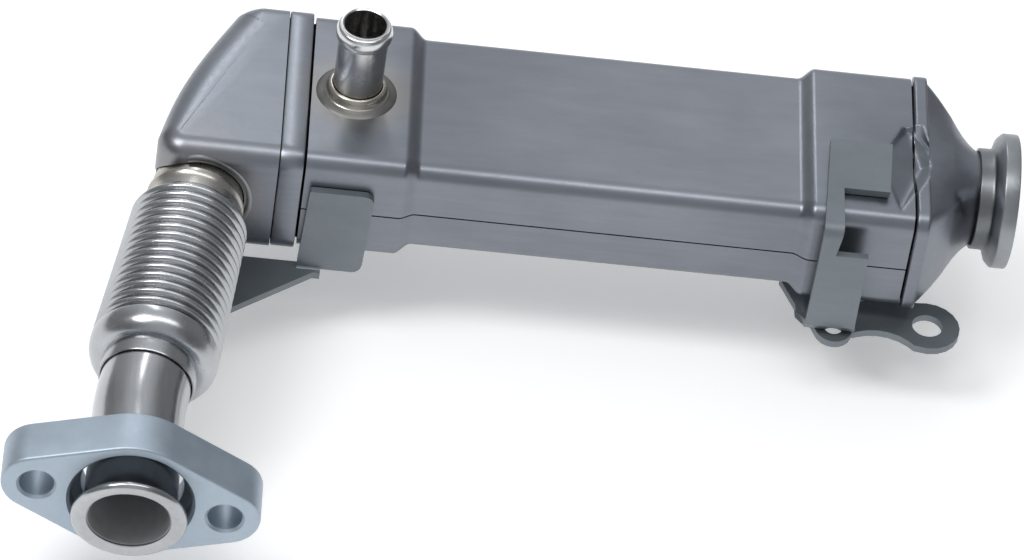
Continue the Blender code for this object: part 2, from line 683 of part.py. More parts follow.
def diamond(radius_tip, radius_boss, half_pitch, steps=6):
    """Outline of a two-bolt flange: two tips and a round middle joined by straight flanks."""
    lean = math.asin((radius_boss - radius_tip) / half_pitch)
    points = []
    for centre, radius, start, end in (
            (half_pitch, radius_tip, -math.pi / 2 + lean, math.pi / 2 - lean),
            (0.0, radius_boss, math.pi / 2 - lean, math.pi / 2 + lean),
            (-half_pitch, radius_tip, math.pi / 2 + lean, 3 * math.pi / 2 - lean),
            (0.0, radius_boss, 3 * math.pi / 2 - lean, 3 * math.pi / 2 + lean)):
        for i in range(steps + 1):
            a = start + (end - start) * i / steps
            points.append((centre + radius * math.cos(a), radius * math.sin(a)))
    return points


flange_rings = []
for z, inset in ((0.0, FLANGE_CHAMFER), (-FLANGE_CHAMFER, 0.0),
                 (-FLANGE_THICKNESS + FLANGE_CHAMFER, 0.0), (-FLANGE_THICKNESS, FLANGE_CHAMFER)):
    ring = diamond(FLANGE_TIP_RADIUS - inset, FLANGE_BOSS_RADIUS - inset, FLANGE_PITCH / 2)
    flange_rings.append([flange_frame @ Vector((x, y, z)) for x, y in ring])
flange = finish("inlet_flange", loft(flange_rings), FLANGE_STEEL)
bore = PIPE_RADIUS + FLANGE_BORE_PLAY
seat = (
    (FLANGE_CHAMFER, FLANGE_SEAT_RADIUS + FLANGE_CHAMFER),
    (-0.4 * FLANGE_CHAMFER, FLANGE_SEAT_RADIUS),
    (-FLANGE_SEAT_DEPTH, FLANGE_SEAT_RADIUS),
    (-FLANGE_SEAT_DEPTH - FLANGE_SEAT_SLOPE, bore),
    (-FLANGE_THICKNESS - CUT_MARGIN, bore),
)
cut(flange, finish("seat", loft([circle(r, flange_frame, h, SEAT_SEGMENTS) for h, r in seat])))
for side in (-1, 1):
    hole = flange_frame @ Matrix.Translation((side * FLANGE_PITCH / 2, 0, 0))
    cut(flange, cylinder(FLANGE_HOLE / 2, -FLANGE_THICKNESS - CUT_MARGIN, CUT_MARGIN, hole, HOLE_SEGMENTS))


# Coolant spigots with hose beads, each standing in a brazed collar
def spigot(tag, x, y, up):
    """One spigot and its collar; gives back the cutter for its hole in the casing."""
    place = frame_at((x, y, up * TANK_HEIGHT / 2), (0, 0, up), Vector((0, 1, 0)))
    bead_at = SPIGOT_LENGTH - SPIGOT_BEAD_DROP
    tube = [(-SPIGOT_REACH, SPIGOT_RADIUS - SPIGOT_WALL),
            (SPIGOT_LENGTH, SPIGOT_RADIUS - SPIGOT_WALL),
            (SPIGOT_LENGTH, SPIGOT_RADIUS - 0.3 * SPIGOT_WALL),
            (SPIGOT_LENGTH - 0.5 * SPIGOT_WALL, SPIGOT_RADIUS)]
    for share, swell in ((1.9, 0.0), (1.25, 0.75), (0.35, 1.0), (-0.35, 1.0), (-1.25, 0.75), (-2.2, 0.0)):
        tube.append((bead_at + share * SPIGOT_BEAD, SPIGOT_RADIUS + swell * SPIGOT_BEAD))
    tube.append((-SPIGOT_REACH, SPIGOT_RADIUS))
    finish("coolant_%s_spigot" % tag, spun(tube, SEGMENTS, place), TUBE_STEEL)
    inside = SPIGOT_RADIUS + GAP
    collar = [(GAP, inside), (SPIGOT_COLLAR_HEIGHT, inside)]
    for share, width in ((1.0, 0.39), (0.60, 0.61), (0.30, 1.0)):
        collar.append((share * SPIGOT_COLLAR_HEIGHT, inside + width * SPIGOT_COLLAR))
    collar.append((GAP, inside + 1.44 * SPIGOT_COLLAR))
    finish("coolant_%s_collar" % tag, spun(collar, SEGMENTS, place), TUBE_STEEL)
    return cylinder(inside, -2 * SPIGOT_REACH, 2 * SPIGOT_REACH, place)


cut(upper_shell, spigot("inlet", X_CASE + INLET_SPIGOT_X, INLET_SPIGOT_Y, 1))
cut(lower_shell, spigot("outlet", X_CASE_END - OUTLET_SPIGOT_X, OUTLET_SPIGOT_Y, -1))


# Outlet diffuser: from the rounded core outline to a round neck
def diffuser_rings(inset, spread):
    """Rings that blend from the rim's inside to the round neck, with a short skirt inside the rim."""
    shrink = 2 * (SHEET + GAP - OUTLET_RIM_RISE + inset)
    base = rounded_rect(TANK_WIDTH - shrink, TANK_HEIGHT - shrink,
                        max(CASING_RADIUS - shrink / 2, SMALLEST_RADIUS))
    stretch = 0.84 * TANK_WIDTH / TANK_HEIGHT
    neck = []
    for y, z in base:
        a = math.atan2(z * stretch, y)
        neck.append(((NECK_RADIUS - inset) * math.cos(a), (NECK_RADIUS - inset) * math.sin(a)))
    skirt = X_TUBES_END + SHEET
    stations = [(skirt - spread, 0.0), (X_DIFFUSER, 0.0)]
    for t, s in ((0.12, 0.10), (0.30, 0.30), (0.50, 0.53), (0.70, 0.76), (0.85, 0.91), (0.94, 0.975)):
        stations.append((X_DIFFUSER + t * DIFFUSER_LENGTH, s))
    stations += [(X_DIFFUSER_END, 1.0), (X_NECK_END + CLAMP_EDGE + spread, 1.0)]
    return [[(x, b[0] + (n[0] - b[0]) * s, b[1] + (n[1] - b[1]) * s) for b, n in zip(base, neck)]
            for x, s in stations]


diffuser = finish("outlet_diffuser", loft(diffuser_rings(0.0, 0.0)), SHELL_STEEL, flat=True)
hollow = finish("hollow", loft(diffuser_rings(DIFFUSER_WALL, CUT_MARGIN)), flat=True)
cut(diffuser, pocket(SHEET + GAP))
cut(hollow, pocket(SHEET + GAP + DIFFUSER_WALL))
cut(diffuser, hollow)

# Clamp flange: a hub on the neck, a cone for the V-shaped clamp and a flat face at the origin
clamp_frame = frame_at((0, 0, 0), (1, 0, 0))
hub_end = X_NECK_END
hub_start = hub_end - CLAMP_HUB
hub_inside = NECK_RADIUS + GAP
hub_outside = hub_inside + CLAMP_WALL
clamp_bore = NECK_RADIUS - DIFFUSER_WALL
clamp_profile = (
    (hub_start, hub_inside),
    (hub_end + CLAMP_EDGE + GAP, hub_inside),
    (hub_end + CLAMP_EDGE + GAP, clamp_bore),
    (0.0, clamp_bore),
    (0.0, CLAMP_RADIUS - CLAMP_EDGE),
    (-CLAMP_EDGE, CLAMP_RADIUS),
    (-CLAMP_RIM + CLAMP_CONE_DROP, CLAMP_RADIUS),
    (-CLAMP_RIM, CLAMP_RADIUS - CLAMP_CONE_DROP),
    (hub_end, hub_outside + CLAMP_EDGE),
    (hub_end - CLAMP_CONE, hub_outside),
    (hub_start + CLAMP_EDGE, hub_outside),
    (hub_start, hub_outside - CLAMP_EDGE),
)
finish("outlet_clamp_flange", spun(clamp_profile, SEAT_SEGMENTS, clamp_frame), FLANGE_STEEL)


# Brackets: bent sheet steel, each with a level foot below the cooler
def rounded_plate(points, low, high, corner):
    """A flat plate in X and Z with rounded corners, between two levels of Y."""
    bm = bmesh.new()
    verts, edges = closed_line(bm, [(x, low, z) for x, z in points])
    bmesh.ops.contextual_create(bm, geom=edges)
    bmesh.ops.bevel(bm, geom=bm.verts[:], offset=corner, segments=3, profile=0.5, affect="VERTICES")
    made = bmesh.ops.extrude_face_region(bm, geom=bm.faces[:])["geom"]
    lifted = [item for item in made if isinstance(item, bmesh.types.BMVert)]
    bmesh.ops.translate(bm, vec=(0, high - low, 0), verts=lifted)
    return finish("plate", bm)


def foot_plan(centre, radius, corners, low, high, count=HOLE_SEGMENTS):
    """A block whose plan is a round ear drawn out to some corner points."""
    bm = bmesh.new()
    plan = [(p.x, p.y) for p in circle(radius, Matrix.Translation((*centre, 0)), count=count)] + list(corners)
    for x, y in plan:
        for z in (low, high):
            bm.verts.new((x, y, z))
    spare = bmesh.ops.convex_hull(bm, input=bm.verts)["geom_interior"]
    bmesh.ops.delete(bm, geom=[v for v in spare if isinstance(v, bmesh.types.BMVert)], context="VERTS")
    return finish("plan", bm)


def bent_strip(line, bends, x0, x1, slant=0.0, steps=4):
    """A strip of sheet bent along a line in Y and Z; slant leans it along X towards the line's start."""
    centre = [Vector(line[0])]
    for i, radius in enumerate(bends, start=1):
        here = Vector(line[i])
        a = (Vector(line[i - 1]) - here).normalized()
        b = (Vector(line[i + 1]) - here).normalized()
        middle = here + (a + b) * radius
        for k in range(steps + 1):
            t = math.pi / 2 * k / steps
            centre.append(middle - (b * math.cos(t) + a * math.sin(t)) * radius)
    centre.append(Vector(line[-1]))
    last = len(centre) - 1
    travel = [0.0]
    for i in range(last):
        travel.append(travel[-1] + (centre[i + 1] - centre[i]).length)
    ring = []
    for side, order in ((1, range(last + 1)), (-1, range(last, -1, -1))):
        for i in order:
            step = (centre[min(i + 1, last)] - centre[max(i - 1, 0)]).normalized()
            p = centre[i] + side * Vector((-step.y, step.x)) * strip_sheet / 2
            ring.append((slant * (1 - travel[i] / travel[-1]), p.x, p.y))
    return finish("strip", loft([[(x + lean, y, z) for lean, y, z in ring] for x in (x0, x1)]))


def bolt_hole(x, y, diameter, reach=CUT_MARGIN):
    """A cutter for a hole through a foot, and on up by a reach."""
    place = Matrix.Translation((x, y, foot_low))
    return cylinder(diameter / 2, -CUT_MARGIN, BRACKET_SHEET + reach, place, HOLE_SEGMENTS)


# The bent strips are a hair thinner than the feet and plates that they run into
HAIR = 0.00006
foot_low = FOOT_TOP - BRACKET_SHEET
foot_middle = FOOT_TOP - BRACKET_SHEET / 2
half_sheet = BRACKET_SHEET / 2
strip_sheet = BRACKET_SHEET - 2 * HAIR

# Right bracket: over the top of the outlet tank, down its front and back under it
x_plate = X_CASE_END - OUTLET_TANK_LENGTH + RIGHT_PLATE_START
plate_y = FRONT - RIGHT_STAND_OFF - half_sheet
plate_front = plate_y - half_sheet
arm_back = FRONT + RIGHT_ARM_BACK
x_ear, y_ear = x_plate + RIGHT_EAR_X, plate_front + RIGHT_EAR_Y
x_small, y_small = x_plate + SMALL_EAR_X, plate_front + SMALL_EAR_Y
strap_level = TANK_HEIGHT / 2 + GAP + half_sheet
right = bent_strip(((FRONT + RIGHT_TOP_REACH, strap_level), (plate_y, strap_level), (plate_y, foot_middle),
                    (arm_back - CUT_MARGIN, foot_middle)), (RIGHT_TOP_BEND, RIGHT_FOOT_BEND),
                   x_plate, x_plate + RIGHT_PLATE_WIDTH, RIGHT_PLATE_SLANT)
cut(right, box((x_plate + RIGHT_STRAP_WIDTH, 2 * FRONT, TANK_HEIGHT / 2 - RIGHT_PLATE_TOP),
               (x_plate + 2 * RIGHT_PLATE_WIDTH, FRONT + RIGHT_NOTCH_REACH, TANK_HEIGHT)))
x_arm = x_plate + BRACKET_CORNER
arm = foot_plan((x_ear, y_ear), EAR_RADIUS, ((x_arm, plate_front + RIGHT_ARM_FRONT), (x_arm, arm_back)),
                foot_low, FOOT_TOP)
scoop = Matrix.Translation((x_plate + SCOOP_X, plate_front + SCOOP_Y - SCOOP_RADIUS, 0))
cut(arm, cylinder(SCOOP_RADIUS, foot_low - CUT_MARGIN, FOOT_TOP + CUT_MARGIN, scoop, SEAT_SEGMENTS))
tail_end = x_plate + TAIL_X
join(right, arm,
     foot_plan((x_small, y_small), SMALL_EAR_RADIUS,
               ((tail_end, FRONT + TAIL_Y), (tail_end + TAIL_WIDTH, FRONT + TAIL_Y)),
               foot_low + HAIR / 2, FOOT_TOP - HAIR / 2))
cut(right, bolt_hole(x_ear, y_ear, BOLT_HOLE), bolt_hole(x_small, y_small, THREAD_HOLE, 2 * BRACKET_SHEET))
right.name = "right_bracket"

# Left bracket: a plate on the inlet tank's side, with a foot that turns out under the bellows
x_left = X_CASE + LEFT_PLATE_START
x_left_end = x_left + LEFT_PLATE_WIDTH
y_left = FRONT - GAP
x_foot, y_foot = X_CASE - LEFT_ARM_X, FRONT - LEFT_ARM_Y
x_bend_end = x_left + LEFT_BEND_WIDTH
plate_top = TANK_HEIGHT / 2 - LEFT_PLATE_TOP
bend_level = foot_middle + LEFT_BEND
left = rounded_plate(((x_left, bend_level), (x_left + LEFT_PLATE_LEAN, plate_top), (x_left_end, plate_top),
                      (x_left_end - LEFT_PLATE_LEAN, FOOT_TOP), (x_bend_end - SHEET, FOOT_TOP),
                      (x_bend_end - SHEET, bend_level)),
                     y_left - BRACKET_SHEET, y_left, 0.5 * SHEET)
root_y = y_left - half_sheet - LEFT_BEND
join(left, bent_strip(((y_left - half_sheet, bend_level + LEFT_BEND), (y_left - half_sheet, foot_middle),
                       (root_y - CUT_MARGIN, foot_middle)), (LEFT_BEND,), x_left + HAIR, x_bend_end))
join(left, foot_plan((x_foot, y_foot), EAR_RADIUS,
                     ((x_bend_end - SHEET, root_y), (x_left + SHEET, y_left - HAIR),
                      (X_CASE - LEFT_ARM_ROOT, y_left - HAIR)), foot_low, FOOT_TOP))
cut(left, bolt_hole(x_foot, y_foot, BOLT_HOLE))
left.name = "left_bracket"

for bracket in (left, right):
    bracket.data.materials.clear()
    bracket.data.materials.append(BRACKET_STEEL)
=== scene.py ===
# %% [markdown]
# # Exhaust gas recirculation cooler
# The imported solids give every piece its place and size. This notebook dresses them: finer turned and
# pressed surfaces, stainless steel finishes, brazed joints, soft studio light and a camera.

import json
import math

import bmesh
import bpy
from mathutils import Matrix, Vector


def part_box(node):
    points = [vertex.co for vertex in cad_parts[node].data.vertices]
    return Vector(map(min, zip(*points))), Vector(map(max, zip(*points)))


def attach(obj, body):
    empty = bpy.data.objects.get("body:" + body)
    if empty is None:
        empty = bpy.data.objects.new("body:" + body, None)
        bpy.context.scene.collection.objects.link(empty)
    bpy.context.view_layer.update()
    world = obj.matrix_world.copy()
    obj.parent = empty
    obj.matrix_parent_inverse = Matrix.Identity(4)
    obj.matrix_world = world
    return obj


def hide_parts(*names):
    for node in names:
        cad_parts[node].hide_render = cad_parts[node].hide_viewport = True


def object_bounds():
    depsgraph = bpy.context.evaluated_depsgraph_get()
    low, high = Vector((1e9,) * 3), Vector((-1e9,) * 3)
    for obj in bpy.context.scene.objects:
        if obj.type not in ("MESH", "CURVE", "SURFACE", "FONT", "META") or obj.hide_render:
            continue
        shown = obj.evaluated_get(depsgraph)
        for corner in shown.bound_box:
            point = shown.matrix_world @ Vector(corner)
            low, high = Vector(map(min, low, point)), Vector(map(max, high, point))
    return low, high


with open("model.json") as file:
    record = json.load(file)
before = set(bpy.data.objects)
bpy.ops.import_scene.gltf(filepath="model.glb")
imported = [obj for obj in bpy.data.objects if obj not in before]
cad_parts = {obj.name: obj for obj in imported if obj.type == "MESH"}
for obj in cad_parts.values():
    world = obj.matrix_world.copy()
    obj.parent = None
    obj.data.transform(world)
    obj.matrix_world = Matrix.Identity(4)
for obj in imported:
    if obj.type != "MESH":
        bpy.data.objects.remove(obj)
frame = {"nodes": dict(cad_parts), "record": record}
cad_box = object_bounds()
print("pieces in the frame:", len(frame["nodes"]))

# %% [markdown]
# ## Camera
# The photograph was taken with a long lens, about two metres away and 43 degrees above the horizon, and
# it is rolled by about nine degrees. Fitting the straight edges of the core gave the camera's three axes,
# which become the columns of its matrix.

# %% Camera
CAMERA_PLACE = (-0.28243, -1.51942, 1.36061)
CAMERA_RIGHT = Vector((0.992975, 0.022953, 0.116077))
CAMERA_UP = Vector((-0.100374, 0.682875, 0.723607))

camera_data = bpy.data.cameras.new("camera")
camera_data.sensor_width = 36.0
camera_data.lens = 228.5
camera_data.clip_end = 20.0
camera = bpy.data.objects.new("camera", camera_data)
bpy.context.scene.collection.objects.link(camera)
right_axis = CAMERA_RIGHT.normalized()
up_axis = (CAMERA_UP - right_axis * CAMERA_UP.dot(right_axis)).normalized()
back_axis = right_axis.cross(up_axis)
turn = Matrix((right_axis, up_axis, back_axis)).transposed().to_4x4()
camera.matrix_world = Matrix.Translation(CAMERA_PLACE) @ turn
bpy.context.scene.camera = camera
print("lens", camera_data.lens, "mm at", [round(c, 3) for c in camera.location])

# %% [markdown]
# ## Floor and light
# A plain pale floor lies under the lowest point. Polished metal shows what stands round it, so the light
# is built for its reflections: a wide panel overhead draws the light line along every rounded front edge,
# a box on the left and a strip behind light the turned pieces, and the sky is darker to the sides, which
# shades the slopes that face left and right.

# %% Floor
lowest = cad_box[0][2]
bpy.ops.mesh.primitive_plane_add(size=12.0, location=(0.0, 0.0, lowest - 0.0005))
floor = bpy.context.object
floor.name = "floor"
print("floor at", round(floor.location.z, 4), "m")
floor_mat = bpy.data.materials.new("floor_paint")
floor_mat.use_nodes = True
floor_shader = floor_mat.node_tree.nodes["Principled BSDF"]
floor_shader.inputs["Base Color"].default_value = (0.90, 0.90, 0.90, 1.0)
floor_shader.inputs["Emission Color"].default_value = (1.0, 1.0, 1.0, 1.0)
floor_shader.inputs["Emission Strength"].default_value = 0.28
floor_shader.inputs["Roughness"].default_value = 0.85
floor.data.materials.append(floor_mat)

# %% [markdown]
# An area lamp is a glowing rectangle: its size sets how wide and soft its reflection is, and its power how
# bright. A point lamp would leave hard dots on the tubes. One helper places each lamp and turns it towards
# the middle of the cooler.


# %% Lights
def area_light(name, place, target, size, power, colour=(1.0, 1.0, 1.0)):
    data = bpy.data.lights.new(name, "AREA")
    data.shape = "RECTANGLE"
    data.size, data.size_y = size
    data.energy = power
    data.color = colour
    lamp = bpy.data.objects.new(name, data)
    lamp.location = place
    aim = Vector(target) - Vector(place)
    lamp.rotation_euler = aim.to_track_quat("-Z", "Y").to_euler()
    bpy.context.scene.collection.objects.link(lamp)
    return lamp


MIDDLE = (-0.14, 0.0, 0.0)
area_light("overhead", (-0.15, -0.25, 1.10), MIDDLE, (1.0, 0.30), 2.6)
area_light("left_box", (-0.80, -0.30, 1.00), MIDDLE, (0.45, 0.45), 5.0)
area_light("back_strip", (-0.39, 1.05, 0.95), MIDDLE, (0.16, 0.80), 1.9)

# %% [markdown]
# Polished metal also mirrors the sky, and an even sky would make every slope the same grey. So the sky's
# brightness changes with its direction: each entry below takes a stretch of the direction's X or Y and
# maps it to a share of the brightness, and the shares are multiplied.

# %% Room
world = bpy.data.worlds.new("studio")
bpy.context.scene.world = world
world.use_nodes = True
tree = world.node_tree
sky = tree.nodes["Background"]
sky.inputs["Color"].default_value = (0.94, 0.965, 1.0, 1.0)
direction = tree.nodes.new("ShaderNodeTexCoord")
split = tree.nodes.new("ShaderNodeSeparateXYZ")
tree.links.new(direction.outputs["Generated"], split.inputs[0])
strength = None
for axis, start, end, low, high in (("X", 0.12, 0.65, 0.80, 0.26), ("X", -0.85, -0.08, 0.36, 1.0),
                                    ("Y", -0.70, 0.40, 0.78, 1.12)):
    share = tree.nodes.new("ShaderNodeMapRange")
    share.interpolation_type = "SMOOTHSTEP"
    for socket, value in (("From Min", start), ("From Max", end), ("To Min", low), ("To Max", high)):
        share.inputs[socket].default_value = value
    tree.links.new(split.outputs[axis], share.inputs["Value"])
    if strength is None:
        strength = share.outputs["Result"]
        continue
    product = tree.nodes.new("ShaderNodeMath")
    product.operation = "MULTIPLY"
    tree.links.new(strength, product.inputs[0])
    tree.links.new(share.outputs["Result"], product.inputs[1])
    strength = product.outputs[0]
tree.links.new(strength, sky.inputs["Strength"])
bpy.context.scene.view_settings.view_transform = "Standard"
print("sky nodes:", len(tree.nodes))

# %% [markdown]
# ## Steel finishes
# Rolled stainless sheet is never one grey: it has a fine grain along the sheet, faint cloudy patches and
# small scratches that change its gloss more than its colour. Each finish below is built from the same
# three layers at different strengths, in object space, so they hold their scale on every piece.


# %% Finish builder
class Finish:
    """A small helper that adds nodes to one material."""

    def __init__(self, name):
        self.mat = bpy.data.materials.new(name)
        self.mat.use_nodes = True
        self.tree = self.mat.node_tree
        self.shader = self.tree.nodes["Principled BSDF"]
        self.coords = self.add("ShaderNodeTexCoord")

    def add(self, kind, **values):
        node = self.tree.nodes.new(kind)
        for key, value in values.items():
            setattr(node, key, value)
        return node

    def link(self, a, b):
        self.tree.links.new(a, b)

    def noise(self, scale, stretch=(1, 1, 1), detail=4.0, rough=0.55):
        place = self.add("ShaderNodeMapping")
        place.inputs["Scale"].default_value = stretch
        self.link(self.coords.outputs["Object"], place.inputs["Vector"])
        tex = self.add("ShaderNodeTexNoise")
        tex.inputs["Scale"].default_value = scale
        tex.inputs["Detail"].default_value = detail
        tex.inputs["Roughness"].default_value = rough
        self.link(place.outputs["Vector"], tex.inputs["Vector"])
        return tex.outputs["Fac"]

    def near(self, centre, reach, blur):
        """1 at a point of the object, fading to 0 between reach and reach plus blur away from it."""
        node = self.add("ShaderNodeVectorMath", operation="DISTANCE")
        self.link(self.coords.outputs["Object"], node.inputs[0])
        node.inputs[1].default_value = centre
        return self.ramp(node.outputs["Value"], reach, reach + blur, 1.0, 0.0)

    def ramp(self, value, low, high, a, b):
        node = self.add("ShaderNodeMapRange")
        node.inputs["From Min"].default_value = low
        node.inputs["From Max"].default_value = high
        node.inputs["To Min"].default_value = a
        node.inputs["To Max"].default_value = b
        self.link(value, node.inputs["Value"])
        return node.outputs["Result"]

    def mix(self, share, a, b):
        node = self.add("ShaderNodeMix", data_type="RGBA")
        for value, socket in ((a, node.inputs[6]), (b, node.inputs[7])):
            if isinstance(value, tuple):
                socket.default_value = (*value, 1.0)
            else:
                self.link(value, socket)
        self.link(share, node.inputs[0])
        return node.outputs[2]

    def math(self, operation, a, b):
        node = self.add("ShaderNodeMath", operation=operation)
        for value, socket in ((a, node.inputs[0]), (b, node.inputs[1])):
            if isinstance(value, (int, float)):
                socket.default_value = value
            else:
                self.link(value, socket)
        return node.outputs[0]

    def bump(self, height, strength, distance):
        node = self.add("ShaderNodeBump")
        node.inputs["Strength"].default_value = strength
        node.inputs["Distance"].default_value = distance
        self.link(height, node.inputs["Height"])
        self.link(node.outputs["Normal"], self.shader.inputs["Normal"])


def steel(name, dark, light, rough, grain, grain_depth, patch=18.0, metal=1.0, heat_tints_and_painted_shade=()):
    """A stainless finish: cloudy colour, directional grain, uneven gloss, heat tints near joints and
    painted shade round given points.
    """
    f = Finish(name)
    cloud = f.noise(patch, detail=3.0)
    fine = f.noise(140.0, grain, detail=5.0, rough=0.65)
    speck = f.noise(900.0, detail=2.0)
    tone = f.math("ADD", f.math("MULTIPLY", cloud, 0.6), f.math("MULTIPLY", fine, 0.4))
    colour = f.mix(f.ramp(tone, 0.34, 0.66, 0.0, 1.0), dark, light)
    for centre, reach, blur, tint_and_shade_colour, strength in heat_tints_and_painted_shade:
        uneven = f.ramp(f.noise(70.0, detail=3.0), 0.3, 0.7, 0.55, 1.0)
        share = f.math("MULTIPLY", f.near(centre, reach, blur), uneven)
        colour = f.mix(f.math("MULTIPLY", share, strength), colour, tint_and_shade_colour)
    f.link(colour, f.shader.inputs["Base Color"])
    gloss = f.math("ADD", f.math("MULTIPLY", fine, 0.5), f.math("MULTIPLY", speck, 0.5))
    f.link(f.ramp(gloss, 0.3, 0.7, rough - 0.05, rough + 0.07), f.shader.inputs["Roughness"])
    f.bump(f.math("ADD", fine, f.math("MULTIPLY", speck, 0.5)), 0.35, grain_depth)
    f.shader.inputs["Metallic"].default_value = metal
    return f.mat


# %% [markdown]
# Brazing heats the steel round every joint until it turns straw yellow and brown, so the finishes take
# tints: each is a point on the object, how far its colour reaches and how softly it fades.
# The clamp's dark grey entry is painted shade round its hub, in the corner between the hub, the conical
# back and the neck.

# %% Finishes
straw = (0.36, 0.30, 0.20)
brown = (0.30, 0.25, 0.19)
spigot_low, spigot_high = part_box("coolant_inlet_spigot")
spigot_foot = ((spigot_low.x + spigot_high.x) / 2, (spigot_low.y + spigot_high.y) / 2, spigot_low.z + 0.003)
stub_low, stub_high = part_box("inlet_stub")
stub_foot = ((stub_low.x + stub_high.x) / 2, stub_high.y - 0.001, (stub_low.z + stub_high.z) / 2)

EVEN = (1.0, 1.0, 1.0)
shell_steel = steel("shell_steel", (0.188, 0.202, 0.228), (0.245, 0.260, 0.290), 0.34, (0.25, 1.0, 3.0),
                    0.00002, heat_tints_and_painted_shade=((spigot_foot, 0.010, 0.011, straw, 0.40),
                                    (stub_foot, 0.015, 0.010, brown, 0.35)))
# The spigots' steel is a lighter copy of the tube finish: part of its brightness is painted highlight,
# standing in for the light streak along them.
tube_steel = steel("tube_steel", (0.60, 0.605, 0.605), (0.76, 0.765, 0.765), 0.22, EVEN, 0.00001,
                   heat_tints_and_painted_shade=((stub_foot, 0.012, 0.012, brown, 0.75), (spigot_foot, 0.006, 0.008, straw, 0.65)))
flange_steel = steel("flange_steel", (0.36, 0.42, 0.48), (0.44, 0.51, 0.58), 0.50, EVEN, 0.00003)
bracket_steel = steel("bracket_steel", (0.17, 0.192, 0.208), (0.225, 0.25, 0.27), 0.46,
                      (0.4, 1.0, 1.0), 0.00002, metal=0.70)
bellows_steel = steel("bellows_steel", (0.37, 0.38, 0.392), (0.48, 0.49, 0.505), 0.23, EVEN, 0.00001)
stub_steel = steel("stub_steel", (0.38, 0.37, 0.345), (0.52, 0.51, 0.485), 0.27, EVEN, 0.00001,
                   heat_tints_and_painted_shade=((stub_foot, 0.013, 0.008, brown, 0.6), (spigot_foot, 0.014, 0.006, straw, 0.35)))
pipe_steel = steel("pipe_steel", (0.38, 0.388, 0.40), (0.50, 0.51, 0.52), 0.19, (3.0, 0.3, 3.0), 0.00001)
# The dark grey entry round the clamp's hub is painted shade for the corner between the hub, its conical
# back and the neck.
clamp_steel = steel("clamp_steel", (0.24, 0.255, 0.27), (0.34, 0.355, 0.37), 0.36, EVEN, 0.00002,
                    heat_tints_and_painted_shade=(((-0.0115, 0.0, 0.0), 0.0175, 0.003, (0.11, 0.115, 0.12), 0.85),))
braze_metal = steel("braze_metal", (0.13, 0.13, 0.125), (0.21, 0.21, 0.20), 0.40, EVEN, 0.00005, 90.0)
by_slot = {
    "shell_steel": shell_steel,
    "tube_steel": tube_steel,
    "flange_steel": flange_steel,
    "bracket_steel": bracket_steel,
}
for part in frame["record"]["subparts"]:
    node = frame["nodes"][part["node"]]
    node.data.materials.clear()
    node.data.materials.append(by_slot[part["material_slot"]])
print("finishes:", sorted(by_slot))

# %% [markdown]
# ## Helpers for the new pieces
# Most pieces here are either turned or swept. A turned piece starts as its half section, drawn as a few
# vertices, and the spin operator carries it once round. A swept one starts as a circle that is extruded
# from station to station. Bevelling the sharp edges afterwards gives them the small radius of real metal.


# %% Turned, swept and softened shapes
def frame_at(origin, direction, up=Vector((0, 0, 1))):
    """A matrix whose Z axis is the given direction."""
    z = Vector(direction).normalized()
    x = up.cross(z)
    if x.length < 1e-6:
        x = Vector((1, 0, 0))
    x.normalize()
    axes = Matrix((x, z.cross(x), z)).transposed().to_4x4()
    return Matrix.Translation(Vector(origin)) @ axes


def turned(profile, place, steps=72):
    """A closed section of (height, radius) points carried once round the Z axis of place."""
    bm = bmesh.new()
    verts = [bm.verts.new((radius, 0.0, height)) for height, radius in profile]
    edges = [bm.edges.new(pair) for pair in zip(verts, verts[1:] + verts[:1])]
    bmesh.ops.spin(bm, geom=verts + edges, cent=(0, 0, 0), axis=(0, 0, 1), angle=2 * math.pi,
                   steps=steps, use_merge=True)
    bmesh.ops.transform(bm, matrix=place, verts=bm.verts)
    bmesh.ops.recalc_face_normals(bm, faces=bm.faces)
    return bm


def extruded_on(bm, ring):
    """Extrude a loop of edges and give back its new vertices and edges."""
    made = bmesh.ops.extrude_edge_only(bm, edges=ring)["geom"]
    verts = {item for item in made if isinstance(item, bmesh.types.BMVert)}
    edges = [item for item in made if isinstance(item, bmesh.types.BMEdge) and verts.issuperset(item.verts)]
    return list(verts), edges


def swept(stations, steps=72):
    """A tube wall swept through (matrix, radius) stations, out along its skin and back along its bore."""
    bm = bmesh.new()
    place, radius = stations[0]
    bmesh.ops.create_circle(bm, cap_ends=False, radius=radius, segments=steps, matrix=place)
    first = list(bm.edges)
    ring = first
    before = place @ Matrix.Scale(radius, 4)
    for place, radius in stations[1:]:
        verts, ring = extruded_on(bm, ring)
        after = place @ Matrix.Scale(radius, 4)
        bmesh.ops.transform(bm, matrix=after @ before.inverted(), verts=verts)
        before = after
    bmesh.ops.bridge_loops(bm, edges=first + ring)
    bmesh.ops.recalc_face_normals(bm, faces=bm.faces)
    return bm


def lofted(rings):
    """Extrude a closed line of points from station to station, with both ends filled."""
    bm = bmesh.new()
    verts = [bm.verts.new(p) for p in rings[0]]
    ring = [bm.edges.new(pair) for pair in zip(verts, verts[1:] + verts[:1])]
    for points in rings[1:]:
        fresh, ring = extruded_on(bm, ring)
        fresh = set(fresh)
        verts = [next(e.other_vert(v) for e in v.link_edges if e.other_vert(v) in fresh) for v in verts]
        for vert, point in zip(verts, points):
            vert.co = point
    bmesh.ops.holes_fill(bm, edges=bm.edges, sides=0)
    bmesh.ops.recalc_face_normals(bm, faces=bm.faces)
    return bm


def soften(bm, width, segments=2, angle=28.0):
    """Round every edge that is sharper than an angle."""
    limit = math.radians(angle)
    bm.normal_update()
    sharp = [edge for edge in bm.edges if edge.is_manifold and edge.calc_face_angle(0.0) > limit]
    bmesh.ops.bevel(bm, geom=sharp, offset=width, offset_type="OFFSET", segments=segments, profile=0.5,
                    affect="EDGES", material=-1, clamp_overlap=True)
    return bm


